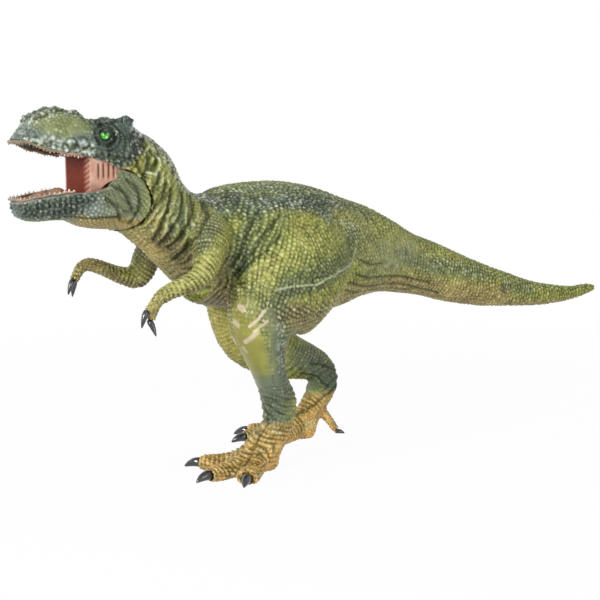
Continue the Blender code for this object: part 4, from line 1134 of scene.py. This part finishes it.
class HideSizes(bpy.types.PropertyGroup):
    grain: metres("Grain", "Edge length of the sculpted surface", 0.00046)
    jaw_grain: metres("Jaw grain", "Edge length on the jaw", 0.00042)
    mouth_grain: metres("Mouth grain", "Edge length on the lining and the tongue", 0.00035)
    swell: metres("Swell", "Closes the glue seams", 0.00022)
    bead: metres("Scale size", "Spacing of the scales", 0.00145)
    bead_depth: metres("Scale depth", "Depth between scales", 0.00042)
    rounds: IntProperty(name="Fairing", description="Rounds of fairing", default=26)
    roughness: amount("Roughness", "Roughness of the paint", 0.36)
    varnish: amount("Varnish", "Strength of the clear coat", 0.35)
    tooth_length: metres("Tooth length", "From root to tip, before each tooth is scaled", 0.0014)
    tooth_root: metres("Tooth root", "Radius of a tooth at its root", 0.0005)
    tooth_tip: metres("Tooth tip", "Radius of a tooth at its tip", 0.00014)


class HidePaints(bpy.types.PropertyGroup):
    olive: paint("Olive", "Yellow-green ground of the hide", (0.37, 0.385, 0.075))
    leaf: paint("Leaf", "Green of the back and thighs", (0.24, 0.28, 0.06))
    light: paint("Light", "Pale yellow-green accents", (0.50, 0.50, 0.13))
    # Straw is laid on the raised edge of each scale: dry-brush that is partly a painted highlight
    straw: paint("Straw", "Dry-brushed edges of the scales", (0.66, 0.64, 0.26))
    teal: paint("Teal", "Dark bands on the flank", (0.10, 0.155, 0.09))
    # Deep teal is also laid as painted shade on the shoulder folds and the far leg
    deep: paint("Deep teal", "Darkest bands", (0.065, 0.105, 0.075))
    steel: paint("Steel", "Grey-green of the shins", (0.185, 0.21, 0.105))
    grey: paint("Grey", "Grey-tan of the tail root", (0.33, 0.34, 0.14))
    # Brown is also laid as painted shade behind and under the limbs and on the far arm
    brown: paint("Brown", "Chest and belly", (0.20, 0.16, 0.07))
    tan: paint("Tan", "Throat and underside", (0.43, 0.33, 0.12))
    shin: paint("Shin", "Varnished yellow shins", (0.25, 0.235, 0.05))
    gold: paint("Gold", "Feet and toes", (0.82, 0.50, 0.155))
    slate: paint("Slate", "Head", (0.115, 0.155, 0.135))
    pine: paint("Pine", "Round the eyes and brow", (0.065, 0.10, 0.08))
    moss: paint("Moss", "Patch on the snout", (0.25, 0.28, 0.11))
    # Pale tops of the scales and toe bars: dry-brush that also paints highlights
    spark: paint("Highlight", "Dry-brushed tops of the scales", (0.72, 0.74, 0.45))
    flesh: paint("Flesh", "Inside of the mouth", (0.55, 0.30, 0.22))
    # Maroon is also laid deeper in the mouth as painted shade
    maroon: paint("Maroon", "Back of the mouth", (0.15, 0.02, 0.006))
    tongue: paint("Tongue", "Tongue", (0.36, 0.20, 0.12))
    cream: paint("Cream", "Teeth", (0.80, 0.64, 0.54))
    iris: paint("Iris", "Eye", (0.06, 0.38, 0.02))
    mist: paint("Mist", "Pale blue-green glints of the head and back", (0.72, 0.80, 0.72))
    # Pale rose: painted reflections on the glossy spots of the knee
    rose: paint("Rose", "Bare glossy spots of the knee", (0.80, 0.66, 0.56))
    # Black is also laid as painted shade in the ear pits, the fold behind the head and the back of
    # the throat
    black: paint("Black", "Pupils and the darkest folds", (0.02, 0.025, 0.022))
    blush: paint("Blush", "Pale folds of the cheek lining", (0.85, 0.62, 0.52))


class FIGURE_OT_hide(bpy.types.Operator):
    """Fuse the castings, sculpt and paint the hide, then part it along the seams"""

    bl_idname = "figure.hide"
    bl_label = "Sculpt the hide"

    def execute(self, context):
        sizes = context.scene.figure_sizes
        body, names, label = self.fuse(sizes)
        hide = Body(body, context.scene.figure_paints, names)
        hide.bare = bare_shins(hide)
        paint_body(hide)
        for line in STROKES:
            hide.stroke(*line)
        # Painted reflections on the knee spots, which are also made glossy
        for line in KNEE_GLOSS_AND_HIGHLIGHTS:
            spot = hide.stroke("rose", 1, *line, step=0.5, edges=(0.7, 1.15))
            hide.bare = np.maximum(hide.bare, spot)
        gild_feet(hide)
        for sculpt in (sculpt_neck, sculpt_belly, sculpt_ribs, sculpt_head):
            sculpt(hide)
        for line in CREASES:
            hide.crease(*line)
        sculpt_toes(hide)
        sculpt_arms(hide)
        bead_all(hide, sizes)
        for line in TENDONS:
            hide.tendon(*line)
        for line in KNOBS:
            hide.knobs(*line)
        hide.gloss = hide.bare
        hide.finish()
        finish = paint_finish("painted_hide", sizes.roughness, sizes.varnish)
        pieces = part_pieces(body, label, CASTINGS)
        if sorted(pieces) != sorted(CASTINGS):
            raise RuntimeError("The hide came apart wrongly: " + ", ".join(sorted(pieces)))
        for name, piece in pieces.items():
            place_piece(piece, "figure", name, finish)
        return {"FINISHED"}

    def fuse(self, sizes):
        """One faired skin over all the castings, and the casting under each of its points."""
        copies = []
        for name in CASTINGS:
            piece = copy_of(name, name + "_copy")
            apply_modifier(piece, "DISPLACE", strength=sizes.swell, mid_level=0)
            copies.append(piece)
        body = join(copies)
        body.name = "hide"
        apply_modifier(body, "REMESH", mode="VOXEL", voxel_size=sizes.grain)
        apply_modifier(body, "SMOOTH", factor=0.5, iterations=2)
        apply_modifier(body, "DISPLACE", strength=-sizes.swell, mid_level=0)
        keep_outer_body(body)
        label = label_points(body, CASTINGS)
        names = np.array(CASTINGS)[label]
        _, y, z = points_of(body).T
        hands = (y < -100) & (z < 84)
        lips = (names == "head") & (y < -105) & (z < 128)
        soften(body, sizes.rounds, np.where(hands | lips, 0.35, 1.0))
        return body, names, label


def paint_jaw(hide):
    """Paints the jaw inside and out, and says where its lip and its outer side are."""
    p, y, z = hide.points, hide.y, hide.z
    hide.coat(1, "slate")
    hide.coat(ease(y, -126, -116) * 0.9, "steel")
    hide.coat(ease(y, -108, -101) * 0.55, "olive")
    hide.coat(ease(cloud(p, 3.0, 44), 0.0, 0.7) * 0.22, "mist")
    hide.coat(ease(z, 99.8, 98.2) * ease(y, -118, -126) * 0.8, "moss")
    hide.coat(ease(-hide.nz, 0.35, 0.75) * ease(y, -132, -124), "tan")
    hide.coat(ease(z, 99.5, 97.0) * ease(y, -130, -122), "tan")
    above = z - np.interp(y, *LOWER_LIP)
    away = p[:, :2] - np.stack([np.zeros(len(p)), np.clip(y, -139, -105)], axis=1)
    away /= np.linalg.norm(away, axis=1).clip(0.1)[:, None]
    inward = -(hide.normals[:, :2] * away).sum(1)
    wall = ease(inward, 0.1, 0.45) * ease(z, 100.8, 101.4)
    wall = np.maximum(wall, ease(hide.nz, 0.5, 0.8) * ease(above, -1.2, -2.0))
    hide.coat(wall, "flesh")
    # Maroon deeper down the inner wall: red paint and painted shade
    hide.coat(wall * ease(above, -1.0, -4.0) * 0.7, "maroon")
    rim = ease(hide.nz, 0.5, 0.85) * ease(above, -1.2, -0.4)
    hide.coat(rim * (1 - wall) * 0.3, "flesh")
    return above, 1 - np.clip(wall + rim, 0, 1)


def sculpt_jaw(hide, above, outer, sizes):
    """Folds, ribs, scales and knobs of the jaw."""
    p, y, z = hide.points, hide.y, hide.z
    for line in JAW_CREASES:
        hide.crease(*line)
    rear = ease(y, -122, -114) * outer
    fold = ripple(y * 0.55 + z * 0.35 + cloud(p, 7.0, 41) * 1.6, 1.25)
    # Folds on the rear of the jaw, washed dark in their grooves: painted shade
    hide.relief -= rear * (1 - fold) * 0.14
    hide.wash += rear * ease(fold, 0.5, 0.0) * 0.4
    rib = tiles(y + cloud(p, 6.0, 43) * 0.3, 1.9, 0.42) * outer * ease(y, -124, -128)
    rib *= ease(z, 99.5, 101) * ease(above, 0.2, -1.0)
    # Ribs washed dark: painted shade between them
    hide.press(rib, 0.5, 0.6)
    spacing = sizes.bead * MM - 0.1 - rear * 0.3
    height, shade = scales(p, y + cloud(p, 5.0, 42), spacing)
    depth = outer * (1 - 0.4 * rear)
    # Grooves between the scales washed dark: painted shade
    hide.press((1 - height) * depth, sizes.bead_depth * MM * 0.7, 0.7)
    # Pale tops of the scales: painted highlights
    spark = ease(height, 0.6, 1.0) * depth * (0.04 + 0.45 * ease(shade, 0.8, 0.97))
    hide.coat(spark * (1 - 0.5 * rear), "mist")
    for line in JAW_KNOBS:
        hide.knobs(*line, "slate")
    hide.relief = np.minimum(hide.relief, 0.45) - 0.1 * outer
    hide.relief *= ease(above, 0.4, -0.6) * 0.8 + 0.2


class FIGURE_OT_jaw(bpy.types.Operator):
    """Sculpt and paint the swinging lower jaw"""

    bl_idname = "figure.jaw"
    bl_label = "Sculpt the jaw"

    def execute(self, context):
        sizes = context.scene.figure_sizes
        jaw = sculpt_copy("lower_jaw", "painted_lower_jaw", sizes.jaw_grain, 14, 0.5)
        hide = Hide(jaw, context.scene.figure_paints)
        above, outer = paint_jaw(hide)
        sculpt_jaw(hide, above, outer, sizes)
        hide.finish()
        finish = paint_finish("painted_jaw", sizes.roughness, sizes.varnish)
        place_piece(jaw, "jaw", "lower_jaw", finish)
        return {"FINISHED"}


class FIGURE_OT_claws(bpy.types.Operator):
    """Round the glossy black claws"""

    bl_idname = "figure.claws"
    bl_label = "Shape the claws"

    def execute(self, context):
        finish = gloss_finish("claw_lacquer", (0.016, 0.016, 0.018), (0.06, 0.058, 0.055), 0.2, 700)
        for name in CLAWS:
            claw = copy_of(name, "shaped_" + name)
            apply_modifier(claw, "SUBSURF", levels=2, render_levels=2)
            place_piece(claw, "figure", name, finish)
        return {"FINISHED"}


class FIGURE_OT_eyes(bpy.types.Operator):
    """Turn the eyeballs and paint iris, pupil and glint"""

    bl_idname = "figure.eyes"
    bl_label = "Paint the eyes"

    def execute(self, context):
        finish = paint_finish("eye_enamel", 0.1, 0.5)
        for node, sign in EYES.items():
            low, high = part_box(node)
            bpy.ops.object.select_all(action="DESELECT")
            bpy.ops.mesh.primitive_uv_sphere_add(
                segments=64, ring_count=40, radius=(high.z - low.z) / 2, location=(low + high) / 2
            )
            eye = bpy.context.active_object
            eye.name = "painted_" + node
            apply_place(eye)
            hide = Hide(eye, context.scene.figure_paints)
            iris = ease(self.turn(hide, GAZE, sign), 50, 42)
            hide.coat(1, "black")
            hide.coat(iris * ease(hide.nz, 0.45, 0.3), "iris")
            for spot, reach, tone in EYE_SPOTS:
                hide.coat(ease(self.turn(hide, spot, sign), reach + 3, reach - 3), tone)
            hide.gloss[:] = 1
            hide.finish()
            place_piece(eye, "figure", node, finish)
        return {"FINISHED"}

    def turn(self, hide, way, sign):
        """Angle in degrees between each point of an eye and a direction."""
        way = np.array(way) * [sign, 1, 1]
        return np.degrees(np.arccos(np.clip(hide.normals @ (way / np.linalg.norm(way)), -1, 1)))


def lip_line(node, sign):
    """Middle line of a row of teeth in millimetres, read off its solid: y, half width, height."""
    points = points_of(frame["nodes"][node])
    ys = np.linspace(points[:, 1].min() + 0.6, points[:, 1].max() - 0.4, 12)
    widths = []
    heights = []
    for y in ys:
        near = points[np.abs(points[:, 1] - y) < 1.6]
        widths.append(np.abs(near[:, 0]).max() - 0.6)
        heights.append(near[:, 2].min() if sign > 0 else near[:, 2].max())
    return ys, np.array(widths), np.array(heights)


def gum_ridge(spots, radius, name):
    """A soft round ridge swept along the lip."""
    curve = bpy.data.curves.new(name, "CURVE")
    curve.dimensions = "3D"
    curve.bevel_depth = radius / MM
    curve.bevel_resolution = 2
    curve.use_fill_caps = True
    spline = curve.splines.new("POLY")
    line = spots[::3]
    spline.points.add(len(line) - 1)
    for point, spot in zip(spline.points, line):
        point.co = (*(spot / MM), 1)
    ridge = bpy.data.objects.new(name, curve)
    bpy.context.scene.collection.objects.link(ridge)
    only(ridge)
    bpy.ops.object.convert(target="MESH")
    ridge = bpy.context.active_object
    edit(ridge, (bpy.ops.mesh.remove_doubles, {"threshold": GUM_WELD}))
    return ridge


def model_tooth(sizes):
    """One tooth, point up, with its root sunk a little below the origin."""
    middle = (0, 0, sizes.tooth_length / 2 - TOOTH_SINK)
    bpy.ops.object.select_all(action="DESELECT")
    bpy.ops.mesh.primitive_cone_add(
        vertices=10, radius1=sizes.tooth_root, radius2=sizes.tooth_tip,
        depth=sizes.tooth_length, location=middle,
    )
    tooth = bpy.context.active_object
    edit(
        tooth,
        (bpy.ops.mesh.subdivide, {"number_cuts": 1}),
        (bpy.ops.mesh.vertices_smooth, {"factor": 0.4, "repeat": 2}),
    )
    apply_place(tooth)
    return tooth


class FIGURE_OT_teeth(bpy.types.Operator):
    """Set small curved teeth in pink gums along both jaws"""

    bl_idname = "figure.teeth"
    bl_label = "Set the teeth"

    def execute(self, context):
        for node, (body, sign, lift, radius, step, size) in TEETH.items():
            line = lip_line(node, sign)
            spots = self.path(*line)
            gum = gum_ridge(spots + [0, 0, lift], radius, node + "_gum")
            tooth = model_tooth(context.scene.figure_sizes)
            teeth = self.plant(tooth, spots, sign, step, size)
            bpy.data.objects.remove(tooth)
            join([gum] + teeth)
            gum.name = "set_" + node
            apply_place(gum)
            edit(gum, (bpy.ops.mesh.normals_make_consistent, {"inside": False}))
            hide = Hide(gum, context.scene.figure_paints)
            self.colour_gums(hide, line, sign)
            hide.finish()
            place_piece(gum, body, node, paint_finish(node + "_enamel", 0.45, 0.15))
        return {"FINISHED"}

    def path(self, ys, widths, heights):
        """Evenly spaced points from one end of the lip round the front to the other."""
        path = list(zip(widths[::-1], ys[::-1], heights[::-1]))
        path.append((0, ys[0] - 0.3, heights[0]))
        path += zip(-widths, ys, heights)
        return dense(path, 0.25)

    def plant(self, tooth, spots, sign, step, size):
        """Copies of a tooth along the lip, each of its own size, length and lean."""
        teeth = []
        for count, index in enumerate(range(3, len(spots) - 3, step)):
            width = size + 0.25 * ((count * 5) % 7) / 6
            copy = tooth.copy()
            copy.data = tooth.data.copy()
            bpy.context.scene.collection.objects.link(copy)
            copy.location = Vector(spots[index] + [0, 0, sign * 0.3]) / MM
            height = width * sign * (0.72 + 0.25 * ((count * 3) % 4) / 3)
            copy.scale = (width, width, height)
            lean = 0.06 * ((count * 3) % 5 - 2)
            copy.rotation_euler = (lean, 0.05 * ((count * 7) % 5 - 2), count * 0.7)
            teeth.append(copy)
        return teeth

    def colour_gums(self, hide, line, sign):
        """Pink gums, dark at their front, and cream teeth that are fainter at the snout."""
        ys, _, heights = line
        proud = (hide.z - np.interp(hide.y, ys, heights)) * sign
        dabs = ease(cloud(hide.points, 2.0, 71), -0.4, 0.3)
        front = ease(hide.y, -128, -138)
        hide.coat(1, "flesh")
        if sign > 0:
            hide.coat(0.5, "brown")
            hide.coat(dabs * 0.75, "slate")
        else:
            hide.coat(0.3 + 0.5 * front, "brown")
            hide.coat(dabs * (0.45 + 0.15 * front), "slate")
        faint = 0.65 * ease(hide.y, -134, -140)
        hide.coat(ease(proud, 0.45, 0.8) * (1 - faint), "cream")


class FIGURE_OT_mouth(bpy.types.Operator):
    """Sculpt and paint the throat lining and the tongue"""

    bl_idname = "figure.mouth"
    bl_label = "Dress the mouth"

    def execute(self, context):
        self.line_throat(context.scene.figure_sizes, context.scene.figure_paints)
        self.lay_tongue(context.scene.figure_sizes, context.scene.figure_paints)
        return {"FINISHED"}

    def line_throat(self, sizes, paints):
        """Ribs on the front of the lining and slits between the folds of its cheeks, with painted
        shade in the grooves, the slits and the throat.
        """
        lining = sculpt_copy("mouth_lining", "throat_lining", sizes.mouth_grain, 4, 0.6)
        hide = Hide(lining, paints)
        p, x, y, z = hide.points, hide.x, hide.y, hide.z
        front = ease(-hide.ny, 0.4, 0.8)
        cheek = ease(np.abs(hide.nx), 0.4, 0.8)
        ribs = tiles(z - hide.side * 0.35 + cloud(p, 4.0, 51) * 0.4, 1.9, 0.5)
        hide.coat(1, "flesh")
        # Maroon on the front of the lining, left showing in the grooves between the ribs: red paint
        # and painted shade
        hide.coat(front * ease(x, 9.4, 8.6), "maroon")
        hide.coat(front * ease(x, 4.0, 8.0) * (0.35 + 0.5 * (1 - ribs)), "flesh")
        hide.coat(front * ease(x, -8.6, -9.4), "flesh")
        hide.press(ribs * (front * ease(x, 4.5, 6.0)), 0.45)
        slit = tiles(y + 0.4, 2.0, 0.34) * cheek * ease(z, 112, 114) * ease(y, -113, -115)
        slit *= ease(y, -121.5, -120.5) * ease(z, 118.5, 117.5)
        # Slits pressed and washed dark: painted shade in them
        hide.press(slit, 0.8, 1.0)
        # Maroon along the lower edge of the cheeks: painted shade
        hide.coat(cheek * ease(z + (y + 112) * 0.45, 108, 105) * 0.6, "maroon")
        # Black at the back of the lining: painted shade of the throat
        hide.coat(ease(y, -111, -109.5), "black")
        hide.relief -= 0.1
        hide.coat(cheek * ease(cloud(p, 3.5, 52), -0.1, 0.5) * 0.35, "blush")
        hide.finish()
        finish = paint_finish("mouth_paint", 0.5, 0.0)
        place_piece(lining, "figure", "mouth_lining", finish)

    def lay_tongue(self, sizes, paints):
        """A tongue with a groove along it, lumps and two low mounds."""
        tongue = sculpt_copy("tongue", "painted_tongue", sizes.mouth_grain, 8, 0.6)
        hide = Hide(tongue, paints)
        hide.coat(1, "tongue")
        groove = bell(hide.x, 0.7) * ease(hide.nz, 0.3, 0.8)
        lumps = cloud(hide.points, 3.2, 61)
        hide.relief -= groove * 0.4 + (0.5 - 0.5 * lumps) * 0.5
        for y, high in TONGUE_MOUNDS:
            mound = ease(np.hypot(hide.x * 0.8, hide.y - y), 5.0, 0.5)
            hide.relief += mound * ease(hide.nz, 0.2, 0.8) * high
        # The groove and the hollows between the lumps are washed dark: painted shade
        hide.wash += groove * 0.6 + ease(lumps, 0.1, -0.6) * 0.6
        hide.finish()
        place_piece(tongue, "jaw", "tongue", paint_finish("tongue_paint", 0.4, 0.1))


class FIGURE_OT_pin(bpy.types.Operator):
    """Give the jaw pin its dark moulded finish"""

    bl_idname = "figure.pin"
    bl_label = "Finish the pin"

    def execute(self, context):
        finish = gloss_finish("pin_plastic", (0.06, 0.09, 0.075), (0.10, 0.14, 0.115), 0.45, 500)
        pin = frame["nodes"]["jaw_pin"]
        pin.data.materials.clear()
        pin.data.materials.append(finish)
        return {"FINISHED"}


class StageSettings(bpy.types.PropertyGroup):
    floor: paint("Floor", "Colour of the floor", (0.96, 0.96, 0.96))
    key: amount("Key", "Power of the main soft light", 5.4)
    fill: amount("Fill", "Power of the fill light", 1.2)
    side: amount("Side", "Power of the light at the side", 1.8)
    glint: amount("Glint", "Power of the small light above and behind", 0.9)
    sky: amount("Sky", "Strength of the even light", 0.25)
    lens: amount("Lens", "Focal length on a 36 mm frame", 74.1)


def white_mix(tree, surface, out, near=None):
    """Shows white to the camera and to reflections, and the surface itself to everything
    else. The white can be fainter near the figure."""
    rays = tree.nodes.new("ShaderNodeLightPath").outputs
    seen = rays["Is Camera Ray"]
    for kind in ("Is Glossy Ray", "Is Transmission Ray"):
        seen = add_node(tree, "Math", {0: seen, 1: rays[kind]}, operation="MAXIMUM")
    if near is not None:
        place = add_node(tree, "TexCoord", {}, "Object")
        reach = add_node(tree, "VectorMath", {0: place}, "Value", operation="LENGTH")
        fade = add_node(tree, "MapRange", {
            "Value": reach, "From Min": 0.15, "From Max": 0.45, "To Min": near, "To Max": 1.0,
        })
        seen = add_node(tree, "Math", {0: seen, 1: fade}, operation="MULTIPLY")
    kind = "Background" if surface.bl_idname == "ShaderNodeBackground" else "Emission"
    white = add_node(tree, kind, {"Color": WHITE, "Strength": 1})
    mix = add_node(tree, "MixShader", {0: seen, 1: surface.outputs[0], 2: white})
    tree.links.new(mix, tree.nodes[out].inputs["Surface"])


class FIGURE_OT_stage(bpy.types.Operator):
    """Lay the pale floor, hang the soft lights and set the camera"""

    bl_idname = "figure.stage"
    bl_label = "Set the stage"

    def execute(self, context):
        stage = context.scene.figure_stage
        bpy.ops.object.select_all(action="DESELECT")
        bpy.ops.mesh.primitive_plane_add(size=12, location=(0, 0, 0))
        floor = bpy.context.active_object
        floor.name = "floor"
        ground, tree, shader = new_finish("floor_white")
        fill(tree, shader, {
            "Base Color": (*stage.floor, 1), "Roughness": 0.9, "Specular IOR Level": 0.0,
        })
        white_mix(tree, shader, "Material Output", FLOOR_WHITE)
        floor.data.materials.append(ground)
        for name, place, size in LAMPS:
            bpy.ops.object.light_add(type="AREA", location=place)
            lamp = bpy.context.active_object
            lamp.name = name + "_light"
            lamp.data.energy = getattr(stage, name)
            lamp.data.size = size
            self.point_at(lamp, LAMP_AIM)
        world = bpy.data.worlds.new("studio")
        context.scene.world = world
        world.use_nodes = True
        sky = world.node_tree.nodes["Background"]
        fill(world.node_tree, sky, {"Color": WHITE, "Strength": stage.sky})
        white_mix(world.node_tree, sky, "World Output")
        bpy.ops.object.camera_add(location=CAMERA_PLACE)
        camera = bpy.context.active_object
        camera.name = "photo_camera"
        self.point_at(camera, CAMERA_AIM)
        camera.data.lens = stage.lens
        camera.data.sensor_width = 36
        camera.data.clip_start = 0.01
        context.scene.camera = camera
        context.scene.view_settings.view_transform = "Standard"
        return {"FINISHED"}

    def point_at(self, item, aim):
        way = Vector(aim) - item.location
        item.rotation_euler = way.to_track_quat("-Z", "Y").to_euler()


class FIGURE_PT_panel(bpy.types.Panel):
    """Buttons for each step"""

    bl_idname = "FIGURE_PT_panel"
    bl_label = "Figure"
    bl_space_type = "VIEW_3D"
    bl_region_type = "UI"
    bl_category = "Figure"

    def draw(self, context):
        for step in STEPS:
            self.layout.operator(step.bl_idname)


STEPS = (
    FIGURE_OT_hide, FIGURE_OT_jaw, FIGURE_OT_claws, FIGURE_OT_eyes, FIGURE_OT_teeth,
    FIGURE_OT_mouth, FIGURE_OT_pin, FIGURE_OT_stage,
)
GROUPS = (HideSizes, HidePaints, StageSettings)


def register():
    for item in GROUPS + STEPS + (FIGURE_PT_panel,):
        bpy.utils.register_class(item)
    bpy.types.Scene.figure_sizes = bpy.props.PointerProperty(type=HideSizes)
    bpy.types.Scene.figure_paints = bpy.props.PointerProperty(type=HidePaints)
    bpy.types.Scene.figure_stage = bpy.props.PointerProperty(type=StageSettings)


def unregister():
    del bpy.types.Scene.figure_stage
    del bpy.types.Scene.figure_paints
    del bpy.types.Scene.figure_sizes
    for item in reversed(GROUPS + STEPS + (FIGURE_PT_panel,)):
        bpy.utils.unregister_class(item)


def main():
    register()
    bpy.ops.figure.hide()
    bpy.ops.figure.jaw()
    bpy.ops.figure.claws()
    bpy.ops.figure.eyes()
    bpy.ops.figure.teeth()
    bpy.ops.figure.mouth()
    bpy.ops.figure.pin()
    bpy.ops.figure.stage()


if __name__ == "__main__":
    main()
